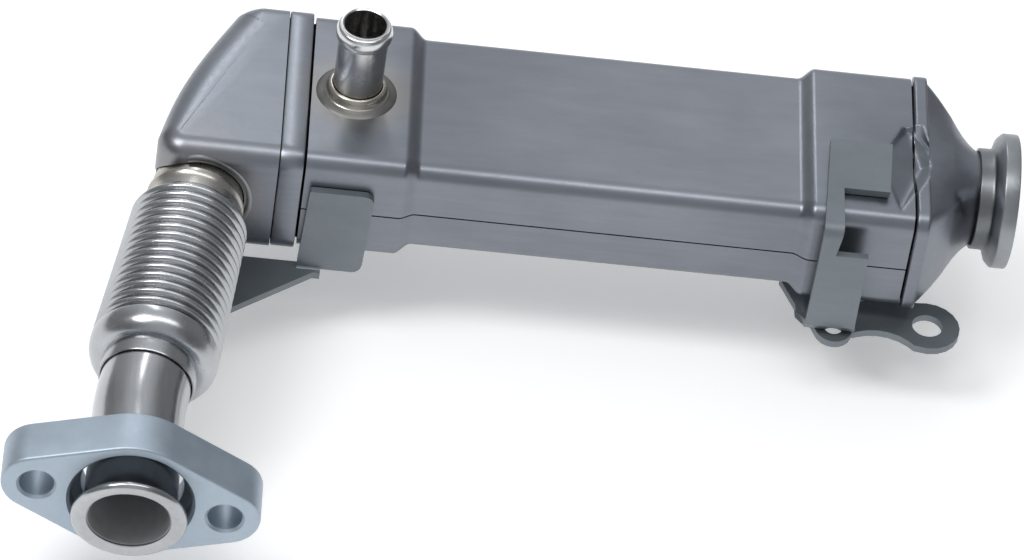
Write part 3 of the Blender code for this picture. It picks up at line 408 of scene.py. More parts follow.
def make_piece(name, bm, slot, replaces=(), sharp=40.0, mat=None):
    """Turn a bmesh into a finished piece that rides on the cooler."""
    bmesh.ops.remove_doubles(bm, verts=bm.verts, dist=1e-7)
    bmesh.ops.recalc_face_normals(bm, faces=bm.faces)
    mesh = bpy.data.meshes.new(name)
    bm.to_mesh(mesh)
    bm.free()
    mesh.materials.append(mat or by_slot[slot])
    mesh.shade_smooth()
    mesh.set_sharp_from_angle(angle=math.radians(sharp))
    piece = bpy.data.objects.new(name, mesh)
    bpy.context.scene.collection.objects.link(piece)
    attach(piece, "root")
    if replaces:
        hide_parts(*replaces)
    print(name, "has", len(mesh.polygons), "faces")
    return piece


# %% [markdown]
# ## Sizes that the pieces share
# The stations along the cooler are read from the frame's boxes, so that a finer piece always lands on the
# solid it dresses. Sheet thickness and the small gaps repeat what the solids use, and the gaps at the seam
# and at the casing's ends are a little wider, because the photograph shows dark joints there.

# %% Shared sizes
SHEET = 0.0012
GAP = 0.0003
CORNER = 0.0055
RAMP = 0.0053
TANK_RISE = 0.0025
SEAM = -0.0010
SEAM_GAP = 0.0005
END_GAP = 0.0008

case_low, case_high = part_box("upper_shell")
x_case, x_case_end = case_low.x - GAP, case_high.x + GAP
tank_width = case_high.y - case_low.y
tank_top = case_high.z
core_width = tank_width - 2 * TANK_RISE
core_top = tank_top - TANK_RISE
front = case_low.y
rim_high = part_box("inlet_tube_plate")[1]
header_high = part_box("inlet_header")[1]
x_header = header_high.x + GAP
inlet_rise = rim_high.z - tank_top
outlet_rim_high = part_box("outlet_tube_plate")[1]
outlet_rise = outlet_rim_high.z - tank_top
x_diffuser = outlet_rim_high.x
print("casing from", round(x_case, 4), "to", round(x_case_end, 4), "m, tank top at", round(tank_top, 4))

# %% [markdown]
# ## Bellows
# The bellows lets the cooler and the manifold move against each other. It is one thin tube, hydroformed
# into sixteen waves with broad round crests and narrow roots, and it ends in a dome that closes on the
# pipe. One section with a sine raised to a small power gives that wave, and the spin does the rest.

# %% Bellows
PIPE_YAW = math.radians(7.3)
PIPE_TILT = math.radians(3.0)
STUB_BACK = 0.0242
PIPE_RADIUS = 0.0139
PIPE_WALL = 0.0012
STUB_RADIUS = 0.0144
WAVES = 16
WAVE_PITCH = 0.00362
WAVE_DEPTH = 0.0046
WAVE_FLARE = 0.0016
WAVE_SHARPNESS = 0.5
BELLOWS_START = 0.0095
BELLOWS_CUFF = 0.0025
BELLOWS_WALL = 0.0006
DOME_LENGTH = 0.0068
DOME_NECK = 0.0056

pipe_start = Vector((x_header - STUB_BACK, front, 0.0))
pipe_way = Vector((-math.sin(PIPE_YAW) * math.cos(PIPE_TILT),
                   -math.cos(PIPE_YAW) * math.cos(PIPE_TILT),
                   -math.sin(PIPE_TILT)))
pipe_frame = frame_at(pipe_start, pipe_way)


def bellows_section():
    """The closed half section of the corrugated sheet, and where it ends."""
    root = STUB_RADIUS + GAP + BELLOWS_WALL
    neck = PIPE_RADIUS + GAP + BELLOWS_WALL
    outer = [(BELLOWS_START, root - 0.0002), (BELLOWS_START + 0.0003, root)]
    inner = [(BELLOWS_START, root - BELLOWS_WALL)]
    for k in range(WAVES):
        base = BELLOWS_START + BELLOWS_CUFF + k * WAVE_PITCH
        depth = WAVE_DEPTH - WAVE_FLARE * (1 - k / (WAVES - 1))
        last_step = 10 if k < WAVES - 1 else 6
        for i in range(last_step):
            t = i / 10
            swell = math.sin(math.pi * t) ** WAVE_SHARPNESS if i else 0.0
            outer.append((base + t * WAVE_PITCH, root + swell * depth))
        inner.append((base, root - BELLOWS_WALL))
        inner.append((base + WAVE_PITCH / 2, root + depth - BELLOWS_WALL))
    crest_at, crest = outer[-1]
    dome = crest_at + 0.0010
    for line, wall, count in ((outer, 0.0, 12), (inner, BELLOWS_WALL, 4)):
        for step in range(count + 1):
            a = math.pi / 2 * step / count
            line.append((dome + DOME_LENGTH * math.sin(a), neck + (crest - neck) * math.cos(a) - wall))
    end = dome + DOME_LENGTH + DOME_NECK
    outer += [(end - 0.0004, neck), (end, neck - 0.0002)]
    inner.append((end, neck - BELLOWS_WALL))
    return outer + list(reversed(inner)), end


bellows_line, bellows_end = bellows_section()
make_piece("bellows_fine", turned(bellows_line, pipe_frame, 96), "tube_steel", ("bellows",), 60.0,
           bellows_steel)
print("bellows ends", round(1000 * bellows_end, 1), "mm from the header")

# %% [markdown]
# ## Stub and inlet pipe
# The stub is the short tube brazed in the header, with a rolled ring against the header's face. The plain
# pipe leaves the bellows, bends by a few degrees and ends in an upset lip that holds the loose flange.
# The stub stays straight, so it is turned like the bellows.

# %% Stub
stub_section = (
    (-0.0022, STUB_RADIUS - PIPE_WALL), (0.0125, STUB_RADIUS - PIPE_WALL), (0.0125, STUB_RADIUS),
    (0.0062, STUB_RADIUS), (0.0050, STUB_RADIUS + 0.0003), (0.0043, STUB_RADIUS + 0.0009),
    (0.0033, STUB_RADIUS + 0.0009), (0.0028, STUB_RADIUS + 0.0004), (0.0027, STUB_RADIUS),
    (-0.0022, STUB_RADIUS),
)
make_piece("stub_fine", turned(stub_section, pipe_frame), "tube_steel", ("inlet_stub",), mat=stub_steel)

# %% [markdown]
# The pipe's middle line bends, so a spin can't make it. A circle is swept along the line instead, out over
# the skin and the lip, and back along the bore, which gives the wall and the open mouth in one go.

# %% Inlet pipe
END_TILT = math.radians(7.8)
BEND_START = 0.0875
BEND_LENGTH = 0.0100
END_LENGTH = 0.0378
LIP_RADIUS = 0.0174
LIP_THICKNESS = 0.0034
LIP_ROUND = 0.0010
BEND_STEPS = 8

end_way = Vector((0.0, -math.cos(END_TILT), -math.sin(END_TILT)))
line = [(pipe_start + pipe_way * (bellows_end - DOME_NECK - 0.0010), pipe_way, PIPE_RADIUS),
        (pipe_start + pipe_way * BEND_START, pipe_way, PIPE_RADIUS)]
for i in range(1, BEND_STEPS + 1):
    way = pipe_way.lerp(end_way, i / BEND_STEPS).normalized()
    line.append((line[-1][0] + way * BEND_LENGTH / BEND_STEPS, way, PIPE_RADIUS))
pipe_end = line[-1][0] + end_way * END_LENGTH
bore_line = line + [(pipe_end - end_way * LIP_ROUND, end_way, PIPE_RADIUS)]
LIP_STEPS = 14
line.append((pipe_end - end_way * LIP_THICKNESS * 1.3, end_way, PIPE_RADIUS))
for i in range(LIP_STEPS + 1):
    a = math.pi * i / LIP_STEPS
    back = 0.5 + 0.5 * math.cos(a)
    swell = 0.10 + 0.90 * math.sin(a) ** 0.7
    line.append((pipe_end - end_way * back * LIP_THICKNESS, end_way,
                 PIPE_RADIUS + swell * (LIP_RADIUS - PIPE_RADIUS)))
stations = [(frame_at(point, way), radius) for point, way, radius in line]
stations += [(frame_at(point, way), PIPE_RADIUS - PIPE_WALL) for point, way, radius in reversed(bore_line)]
make_piece("pipe_fine", swept(stations), "tube_steel", ("inlet_pipe",), mat=pipe_steel)

# %% [markdown]
# The drawn inside of a pipe is duller than its polished outside. A second material on the bore's faces
# would do, but a thin liner swept just inside the bore keeps the two finishes apart with less work.

# %% Dull bore
bore_grey = steel("bore_grey", (0.30, 0.305, 0.31), (0.46, 0.465, 0.47), 0.70, EVEN, 0.00004, metal=0.35)
liner = []
for depth, inset in ((0.0016, 0.00002), (0.0300, 0.00002), (0.0300, 0.0004), (0.0016, 0.0004)):
    liner.append((frame_at(pipe_end - end_way * depth, end_way), PIPE_RADIUS - PIPE_WALL - inset))
make_piece("pipe_liner", swept(liner), "tube_steel", mat=bore_grey)
print("pipe mouth at", [round(1000 * c, 1) for c in pipe_end], "mm")

# %% [markdown]
# ## Loose flange
# The flange is cut from thick plate: a diamond of two round tips and a round middle, with chamfered
# faces. The plate is extruded from its outline and its rim bevelled, and then turned cutters take out
# the bolt holes and the stepped seat, chamfers included.

# %% Flange
FLANGE_THICKNESS = 0.0155
FLANGE_PITCH = 0.0568
FLANGE_TIP = 0.0107
FLANGE_BOSS = 0.0220
FLANGE_HOLE = 0.0052
FLANGE_CHAMFER = 0.0009
FLANGE_ROLL = math.radians(-6.6)
SEAT_RADIUS = 0.0183
SEAT_DEPTH = 0.0065
BORE_RADIUS = PIPE_RADIUS + 0.0015

flange_low, flange_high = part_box("inlet_flange")
flange_frame = (Matrix.Translation(((flange_low.x + flange_high.x) / 2, flange_low.y,
                                    (flange_low.z + flange_high.z) / 2))
                @ Matrix.Rotation(math.radians(90), 4, "X")
                @ Matrix.Rotation(FLANGE_ROLL, 4, "Z"))


def diamond_plate(steps=18):
    """The flange's outline as one face, extruded backwards and chamfered."""
    half = FLANGE_PITCH / 2
    lean = math.asin((FLANGE_BOSS - FLANGE_TIP) / half)
    right = math.pi / 2
    arcs = ((half, FLANGE_TIP, -right + lean, right - lean), (0.0, FLANGE_BOSS, right - lean, right + lean),
            (-half, FLANGE_TIP, right + lean, 3 * right - lean),
            (0.0, FLANGE_BOSS, 3 * right - lean, 3 * right + lean))
    bm = bmesh.new()
    verts = []
    for centre, radius, start, end in arcs:
        for i in range(steps + 1):
            a = start + (end - start) * i / steps
            verts.append(bm.verts.new((centre + radius * math.cos(a), radius * math.sin(a), 0.0)))
    face = bm.faces.new(verts)
    made = bmesh.ops.extrude_face_region(bm, geom=[face])["geom"]
    back = [item for item in made if isinstance(item, bmesh.types.BMVert)]
    bmesh.ops.translate(bm, vec=(0, 0, -FLANGE_THICKNESS), verts=back)
    bmesh.ops.recalc_face_normals(bm, faces=bm.faces)
    rim = [edge for edge in bm.edges if abs(edge.verts[0].co.z - edge.verts[1].co.z) < 1e-6]
    bmesh.ops.bevel(bm, geom=rim, offset=FLANGE_CHAMFER, offset_type="OFFSET", segments=3, profile=0.5,
                    affect="EDGES", material=-1, clamp_overlap=True)
    bmesh.ops.transform(bm, matrix=flange_frame, verts=bm.verts)
    return bm


def cut_piece(piece, cutters):
    """Take turned cutters out of a piece and keep its mesh at the origin."""
    helpers = []
    for bm in cutters:
        bmesh.ops.recalc_face_normals(bm, faces=bm.faces)
        mesh = bpy.data.meshes.new("cutter")
        bm.to_mesh(mesh)
        bm.free()
        helper = bpy.data.objects.new("cutter", mesh)
        bpy.context.scene.collection.objects.link(helper)
        helpers.append(helper)
        mod = piece.modifiers.new("cut", "BOOLEAN")
        mod.operation = "DIFFERENCE"
        mod.solver = "EXACT"
        mod.object = helper
    graph = bpy.context.evaluated_depsgraph_get()
    solid = bpy.data.meshes.new_from_object(piece.evaluated_get(graph))
    piece.modifiers.clear()
    piece.data = solid
    for helper in helpers:
        bpy.data.objects.remove(helper)
    solid.shade_smooth()
    solid.set_sharp_from_angle(angle=math.radians(34.0))


def hole_cutter(place, radius, depth, chamfer, steps=56):
    """A turned cutter for a through hole with a chamfer at both faces."""
    over = 0.001
    section = ((over, 0.0), (over, radius + chamfer + over), (-chamfer, radius),
               (-depth + chamfer, radius), (-depth - over, radius + chamfer + over), (-depth - over, 0.0))
    return turned_core(section, place, steps)


def turned_core(section, place, steps):
    """A solid turned from a section whose two ends lie on the axis."""
    bm = bmesh.new()
    verts = [bm.verts.new((radius, 0.0, height)) for height, radius in section]
    edges = [bm.edges.new(pair) for pair in zip(verts, verts[1:])]
    bmesh.ops.spin(bm, geom=verts + edges, cent=(0, 0, 0), axis=(0, 0, 1), angle=2 * math.pi,
                   steps=steps, use_merge=True)
    bmesh.ops.remove_doubles(bm, verts=bm.verts, dist=1e-7)
    bmesh.ops.transform(bm, matrix=place, verts=bm.verts)
    return bm


seat_section = ((0.001, 0.0), (0.001, SEAT_RADIUS + FLANGE_CHAMFER + 0.001), (-FLANGE_CHAMFER, SEAT_RADIUS),
                (-SEAT_DEPTH + 0.0008, SEAT_RADIUS), (-SEAT_DEPTH, SEAT_RADIUS - 0.0008),
                (-SEAT_DEPTH - 0.0014, BORE_RADIUS), (-FLANGE_THICKNESS - 0.001, BORE_RADIUS),
                (-FLANGE_THICKNESS - 0.001, 0.0))
flange = make_piece("flange_fine", diamond_plate(), "flange_steel", ("inlet_flange",))
holes = [hole_cutter(flange_frame @ Matrix.Translation((side * FLANGE_PITCH / 2, 0, 0)), FLANGE_HOLE,
                     FLANGE_THICKNESS, 0.0008) for side in (-1, 1)]
cut_piece(flange, holes + [turned_core(seat_section, flange_frame, 96)])
print("flange faces after cutting:", len(flange.data.polygons))

# %% [markdown]
# ## Coolant spigots and their collars
# Each spigot is a tube with a rolled bead that keeps the hose from slipping off, and it stands in a
# collar that was pressed from sheet and brazed round. The section's corners are listed, and the
# bead is half a sine wave laid along the tube. A low grey ring stands for the braze.


# %% Spigots
def dress_spigot(tag, up):
    """Turn one spigot and its collar inside the boxes of their solids."""
    low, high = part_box("coolant_%s_spigot" % tag)
    middle = (low + high) / 2
    foot = up * tank_top
    place = frame_at((middle.x - SPIGOT_SHIFT, middle.y, foot), (0, 0, up), Vector((0, 1, 0)))
    length = (high.z - foot) if up > 0 else (foot - low.z)
    radius, wall, bead = 0.00775, 0.0011, 0.0011
    at = length - 0.0034
    section = [(-0.0024, radius - wall), (length - 0.0003, radius - wall), (length, radius - 0.6 * wall),
               (length - 0.0001, radius - 0.2 * wall), (length - 0.0005, radius)]
    for i in range(13):
        a = math.pi * i / 12
        section.append((at + 2.5 * bead * math.cos(a), radius + bead * math.sin(a) ** 1.2))
    section.append((-0.0024, radius))
    # The spigot wears tube_steel, whose extra lightness is painted highlight.
    make_piece("spigot_%s" % tag, turned(section, place), "tube_steel", ("coolant_%s_spigot" % tag,))
    inside = radius + GAP
    ring = [(GAP, inside), (0.0040, inside), (0.0040, inside + 0.0004), (0.0036, inside + 0.0009),
            (0.0026, inside + 0.0012), (0.0017, inside + 0.0014), (0.0011, inside + 0.0019),
            (0.0008, inside + 0.0026), (GAP, inside + 0.0026)]
    make_piece("collar_%s" % tag, turned(ring, place), "tube_steel", ("coolant_%s_collar" % tag,),
               mat=stub_steel)
    braze = [(0.0, inside + 0.0020), (0.0011, inside + 0.0020), (0.0007, inside + 0.0030),
             (0.0004, inside + 0.0040), (0.0, inside + 0.0046)]
    make_piece("braze_%s" % tag, turned(braze, place), "tube_steel", mat=braze_metal)
    spigot_places[tag] = place


SPIGOT_SHIFT = 0.0008
spigot_places = {}
dress_spigot("inlet", 1)
dress_spigot("outlet", -1)

# %% [markdown]
# ## Casing
# Two pressed shells make the water jacket: a narrow core between two slightly larger tanks. A square gets
# corners rounded by a bevel of eight segments, and its outline is extruded from station to station and
# moved out by a smooth step on the ramps. The seam then splits it, and solidify gives each half its wall.

# %% Casing skin
INLET_TANK = 0.0310
OUTLET_TANK = 0.0314
ramp_start = x_case + INLET_TANK
ramp_end = x_case_end - OUTLET_TANK


def smooth_step(t):
    t = min(max(t, 0.0), 1.0)
    return t * t * (3 - 2 * t)


def tank_share(x):
    """1 on the tanks and 0 on the core, with a smooth ramp between."""
    inlet = 1 - smooth_step((x - ramp_start) / RAMP)
    outlet = smooth_step((x - (ramp_end - RAMP)) / RAMP)
    return max(inlet, outlet)


def casing_skin():
    """The rounded skin of both halves, open at its two ends."""
    bm = bmesh.new()
    upright = Matrix(((0, 0, 1, x_case + END_GAP), (1, 0, 0, 0), (0, 1, 0, 0), (0, 0, 0, 1)))
    size = Matrix.Diagonal((core_width, 2 * core_top, 1, 1))
    bmesh.ops.create_grid(bm, x_segments=1, y_segments=1, size=0.5, matrix=upright @ size)
    bmesh.ops.bevel(bm, geom=bm.verts[:], offset=CORNER, offset_type="OFFSET", segments=8, profile=0.5,
                    affect="VERTICES", material=-1, clamp_overlap=False)
    bmesh.ops.delete(bm, geom=bm.faces[:], context="FACES_ONLY")
    cuts = [x_case + END_GAP]
    for start in (ramp_start, ramp_end - RAMP):
        cuts += [start + RAMP * i / 8 for i in range(9)]
    cuts.append(x_case_end - END_GAP)
    verts, ring, rise = bm.verts[:], bm.edges[:], 0.0
    for x in cuts:
        if x != cuts[0]:
            verts, ring = extruded_on(bm, ring)
        step = TANK_RISE * tank_share(x) - rise
        rise += step
        for vert in verts:
            vert.co.x = x
            vert.co.y += step * math.copysign(1.0, vert.co.y)
            vert.co.z += step * math.copysign(1.0, vert.co.z)
    return bm


# %% [markdown]
# ## The pressed pocket
# A pocket is pressed across the corner of the outlet tank, over the rim and into the diffuser, to clear
# the clamp's bolt. Its depth is a function of the place on the plan, the lesser of a floor that falls
# towards the outlet and the sloping walls, so that every sheet it crosses is pressed to the same form.

# %% [markdown]
# Each corner of the pocket's plan is x from the casing's end, y, and how far the wall that starts there
# leans for each unit down. The floor falls from the first edge towards the outlet.

# %% Pocket
POCKET_SLOPE = 0.27
POCKET_START = -0.0091
POCKET_CORNERS = ((POCKET_START, -0.0030, 0.4), (-0.0038, 0.0084, 0.5), (0.0010, 0.0090, 1.5),
                  (0.0060, -0.0075, 1.4), (-0.0051, -0.0312, 0.5), (POCKET_START, -0.0180, 0.05))
WALL_SOFTNESS = 0.0006
FLOOR_SOFTNESS = 0.00025
POCKET_MARGIN = 0.0025
POCKET_SKIRT = 0.0030
x_pocket = x_case_end + POCKET_START
pocket_walls = []
for corner, after in zip(POCKET_CORNERS, POCKET_CORNERS[1:] + POCKET_CORNERS[:1]):
    x, y, lean = corner
    along = Vector((after[0] - x, after[1] - y)).normalized()
    pocket_walls.append((Vector((x_case_end + x, y)), Vector((along.y, -along.x)), lean))
print("pocket walls:", len(pocket_walls))


def soft_min(a, b, softness):
    """The lesser of two values, with the corner between them rounded."""
    return 0.5 * (a + b - math.sqrt((a - b) ** 2 + softness ** 2))


def pressed_level(x, y, z):
    """The height of a sheet at z once the pocket is pressed in it."""
    if z < 0:
        return z
    wall_depth = min((Vector((x, y)) - start).dot(inward) / lean for start, inward, lean in pocket_walls)
    depth = soft_min(POCKET_SLOPE * (x - x_pocket), wall_depth, WALL_SOFTNESS)
    return soft_min(z, tank_top - depth, FLOOR_SOFTNESS) if depth > -POCKET_SKIRT else z

# %% [markdown]
# A press can only show where the sheet has enough faces, so the top near the pocket is cut into a fine
# grid first. The seam splits the skin, the lower half gets a lap that stands inside the upper one, and
# solidify gives both their wall. A turned cutter opens the port under each spigot.


# %% Both shells
def pocket_grid(bm, x_low, x_high, step=0.0006):
    """Cut the top faces near the pocket into a fine grid."""
    for x in [x_low + step * i for i in range(int((x_high - x_low) / step) + 1)]:
        top = [f for f in bm.faces if f.calc_center_median().z > 0.0 and abs(f.normal.z) > 0.02]
        geom = {item for f in top for item in (f, *f.edges, *f.verts)}
        bmesh.ops.bisect_plane(bm, geom=list(geom), plane_co=(x, 0, 0), plane_no=(1, 0, 0))
    y_low, y_high = -0.0330, 0.0110
    for y in [y_low + step * i for i in range(int((y_high - y_low) / step) + 1)]:
        bm.normal_update()
        top = [f for f in bm.faces if abs(f.normal.z) > 0.9 and f.calc_center_median().x > x_low
               and f.calc_center_median().z > 0.0]
        geom = {item for f in top for item in (f, *f.edges, *f.verts)}
        bmesh.ops.bisect_plane(bm, geom=list(geom), plane_co=(0, y, 0), plane_no=(0, 1, 0))


def shell_half(keep_upper):
    """One half of the casing with its wall; the lower half has a lap that stands inside the upper."""
    bm = casing_skin()
    whole = bm.verts[:] + bm.edges[:] + bm.faces[:]
    level = SEAM if keep_upper else SEAM - SEAM_GAP
    bmesh.ops.bisect_plane(bm, geom=whole, plane_co=(0, 0, level), plane_no=(0, 0, 1),
                           clear_inner=keep_upper, clear_outer=not keep_upper)
    if keep_upper:
        bm.normal_update()
        pocket_grid(bm, x_pocket - POCKET_MARGIN, x_case_end - END_GAP)
        for vert in bm.verts:
            if vert.co.x > x_pocket - POCKET_SKIRT:
                vert.co.z = pressed_level(vert.co.x, vert.co.y, vert.co.z)
    else:
        seam = [e for e in bm.edges if all(abs(v.co.z - level) < 1e-6 for v in e.verts)]
        for inward, up in ((SHEET + GAP, 0.0), (0.0, 0.0050)):
            verts, seam = extruded_on(bm, seam)
            for vert in verts:
                vert.co.y -= math.copysign(inward, vert.co.y)
                vert.co.z += up
    bmesh.ops.recalc_face_normals(bm, faces=bm.faces)
    bmesh.ops.solidify(bm, geom=bm.faces[:], thickness=SHEET)
    return bm


port = ((-0.004, 0.0), (-0.004, 0.0070), (0.002, 0.0070), (0.002, 0.0))
for name, keep_upper, tag in (("upper_shell", True, "inlet"), ("lower_shell", False, "outlet")):
    shell = make_piece(name + "_fine", shell_half(keep_upper), "shell_steel", (name,), sharp=50.0)
    cut_piece(shell, [turned_core(port, spigot_places[tag], 48)])
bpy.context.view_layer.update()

# %% [markdown]
# ## Inlet header
# The header is an elbow pressed from one sheet. It is drawn as a plan and stacked from level to level,
# moving in along a quarter circle at the top and bottom. The rounding is stretched along the sloping
# back, where the deep-drawn sheet is broad and soft, and stays tight along the front.

# %% Header
HEADER_REACH = 0.0380
HEADER_BACK_FLAT = 0.0085
HEADER_TURN = 0.0120
HEADER_TURN_DEPTH = 0.0100
HEADER_BOW = 0.0032
HEADER_CORNER = 0.0088
HEADER_DROP = 0.0004
HEADER_SOFTNESS = 1.7
LIP_OUTSIDE = 0.0172
header_front = front - inlet_rise


def header_plan():
    """(x, y, softness) from the mouth at the back, round the sloping end, to the mouth at the front."""
    back, flat, far = -header_front, x_header - HEADER_BACK_FLAT, x_header - HEADER_REACH
    points = [(x_header - GAP, back, 1.0), (flat, back, 1.0)]
    for i in range(1, 11):
        t = 0.8 * i / 10
        points.append((flat - HEADER_TURN * math.sin(t * math.pi / 3.2),
                       back - HEADER_TURN_DEPTH * (1 - math.cos(t * math.pi / 2.6)),
                       1.0 + (HEADER_SOFTNESS - 1.0) * t))
    start = points[-1]
    end = (far, header_front + HEADER_CORNER)
    for i in range(1, 21):
        t = i / 20
        bow = HEADER_BOW * math.sin(t * math.pi)
        points.append((start[0] + (end[0] - start[0]) * t - bow,
                       start[1] + (end[1] - start[1]) * t - 0.4 * bow,
                       HEADER_SOFTNESS - (HEADER_SOFTNESS - 1.0) * t ** 2))
    for i in range(1, 13):
        a = math.radians(180 + 90 * i / 12)
        points.append((far + HEADER_CORNER * (1 + math.cos(a)),
                       header_front + HEADER_CORNER * (1 + math.sin(a)), 1.0))
    points.append((x_header - GAP, header_front, 1.0))
    return points


def moved_in(points, inset, extra):
    """The plan moved in by an inset and a softened extra, with its two ends kept on the mouth."""
    moved = []
    last = len(points) - 1
    for i, (x, y, softness) in enumerate(points):
        a = Vector(points[max(i - 1, 0)][:2])
        b = Vector(points[min(i + 1, last)][:2])
        along = (b - a).normalized()
        moved.append(Vector((x, y)) + Vector((-along.y, along.x)) * (inset + softness * extra))
    moved[0].x, moved[-1].x = points[0][0], points[-1][0]
    return moved


def header_form(inset=0.0, mouth_extra=0.0, steps=10):
    """The outer or the inner form of the header, closed."""
    top = tank_top + inlet_rise - inset
    low = -tank_top - inlet_rise - HEADER_DROP + inset
    radius = CORNER + inlet_rise - inset
    angles = [math.pi / 2 * i / steps for i in range(steps + 1)]
    curve = [(radius * (1 - math.sin(a)), radius * (1 - math.cos(a))) for a in angles]
    levels = [(top - drop, extra) for drop, extra in reversed(curve)]
    levels += [(low + drop, extra) for drop, extra in curve]
    plan = header_plan()
    rings = []
    for z, extra in levels:
        ring = [Vector((p.x, p.y, z)) for p in moved_in(plan, inset, extra)]
        ring[0].x += mouth_extra
        ring[-1].x += mouth_extra
        rings.append(ring)
    return lofted(rings)


header = make_piece("header_fine", header_form(), "shell_steel", ("inlet_header",), sharp=50.0)
stub_hole = ((-0.008, 0.0), (-0.008, STUB_RADIUS + GAP), (0.008, STUB_RADIUS + GAP), (0.008, 0.0))
cut_piece(header, [header_form(SHEET, 0.002), turned_core(stub_hole, pipe_frame, 72)])

# %% [markdown]
# A low ring stands round the stub where the header's hole was drawn out. It is a thin turned bead, cut
# off where the header's rounded corner falls away from it.

# %% Raised lip round the stub
lip_frame = frame_at((pipe_start.x, header_front, 0.0), (0, -1, 0))
lip_section = [(-0.0010, LIP_OUTSIDE - 0.0020)]
for i in range(9):
    a = math.pi * (1 - i / 8)
    lip_section.append((0.0005 * math.sin(a) ** 0.7 if 0 < i < 8 else 0.0,
                        LIP_OUTSIDE - 0.0010 + 0.0010 * math.cos(a)))
lip_section.append((-0.0010, LIP_OUTSIDE))
lip = turned(lip_section, lip_frame, 96)
lip_cut = Vector((pipe_start.x - 0.004, 0, 0))
bmesh.ops.bisect_plane(lip, geom=lip.verts[:] + lip.edges[:] + lip.faces[:], plane_co=lip_cut,
                       plane_no=(1, 0, 0), clear_inner=True)
bmesh.ops.holes_fill(lip, edges=lip.edges, sides=0)
make_piece("header_lip", lip, "shell_steel")

# %% [markdown]
# ## Rims and diffuser
# Between the casing and each end piece a rim of the tube plate shows as a proud band. The bands are
# extruded from the casing's own rounded outline. The plates inside are copies of the solids, drawn in a
# little so that the bands cover them.


# %% Rim bands
def outline_ring(width, height, radius, arc=10, sides=(1, 1)):
    """Points of a rounded rectangle in Y and Z."""
    half_w, half_h = width / 2 - radius, height / 2 - radius
    corners = ((half_w, half_h, 0), (-half_w, half_h, 90), (-half_w, -half_h, 180), (half_w, -half_h, 270))
    points = []
    for k, (cy, cz, start) in enumerate(corners):
        for i in range(arc + 1):
            a = math.radians(start + 90 * i / arc)
            points.append(Vector((cy + radius * math.cos(a), cz + radius * math.sin(a))))
        next_y, next_z, next_start = corners[(k + 1) % 4]
        a = math.radians(next_start)
        goal = Vector((next_y + radius * math.cos(a), next_z + radius * math.sin(a)))
        leave = points[-1]
        points += [leave.lerp(goal, i / sides[k % 2]) for i in range(1, sides[k % 2])]
    return points


def rim_band(x_low, x_high, rise, pressed=False):
    """A band round the casing with softly rounded edges, open inside."""
    edge = 0.0005
    stations = ((x_low, -edge), (x_low + 0.15 * edge, -0.4 * edge), (x_low + edge, 0.0),
                (x_high - edge, 0.0), (x_high - 0.15 * edge, -0.4 * edge), (x_high, -edge))
    if pressed:
        middle = [(x_low + edge + (x_high - x_low - 2 * edge) * i / 6, 0.0) for i in range(1, 6)]
        stations = stations[:3] + tuple(middle) + stations[3:]
    rings = []
    for x, drop in stations:
        out = rise + drop
        ring = outline_ring(tank_width + 2 * out, 2 * (tank_top + out), CORNER + out, sides=(110, 4))
        if pressed:
            ring = [Vector((p.x, pressed_level(x, p.x, p.y))) for p in ring]
        rings.append([(x, p.x, p.y) for p in ring])
    bm = lofted(rings)
    bmesh.ops.delete(bm, geom=[f for f in bm.faces if len(f.verts) > 4], context="FACES")
    bmesh.ops.recalc_face_normals(bm, faces=bm.faces)
    bmesh.ops.solidify(bm, geom=bm.faces[:], thickness=0.00025)
    return bm


def shrunk_plate(node_name, new_name):
    """A copy of a tube plate whose rim is drawn in a little, so that the finer band covers it."""
    bm = bmesh.new()
    bm.from_mesh(frame["nodes"][node_name].data)
    bmesh.ops.remove_doubles(bm, verts=bm.verts, dist=1e-6)
    for vert in bm.verts:
        if abs(vert.co.y) > 0.029 or abs(vert.co.z) > 0.014:
            vert.co.y *= 0.988
            vert.co.z *= 0.978
    return make_piece(new_name, bm, "shell_steel", (node_name,))


shrunk_plate("inlet_tube_plate", "inlet_plate_copy")
shrunk_plate("outlet_tube_plate", "outlet_plate_copy")
make_piece("inlet_rim", rim_band(x_header, x_case, inlet_rise), "shell_steel")
make_piece("outlet_rim", rim_band(x_case_end, x_diffuser, outlet_rise, pressed=True), "shell_steel",
           sharp=60.0)

# %% [markdown]
# The diffuser leads the gas from the casing's outline into the round neck. Both outlines have the same
# number of points, so rings between them are blends of the two. The pocket and a small dent are pressed
# in afterwards, and solidify gives the wall.

# %% Diffuser
DIFFUSER_LENGTH = 0.0170
DIFFUSER_WALL = 0.0015
NECK_RADIUS = 0.0146
DIFFUSER_SINK = 0.0006
DENT_PLACE = Vector((-0.0185, -0.0150, 0.0105))
DENT_SIZE = Vector((0.0050, 0.0030, 0.0040))
DENT_DEPTH = 0.0010
clamp_low, clamp_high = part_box("outlet_clamp_flange")
x_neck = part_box("outlet_diffuser")[1].x


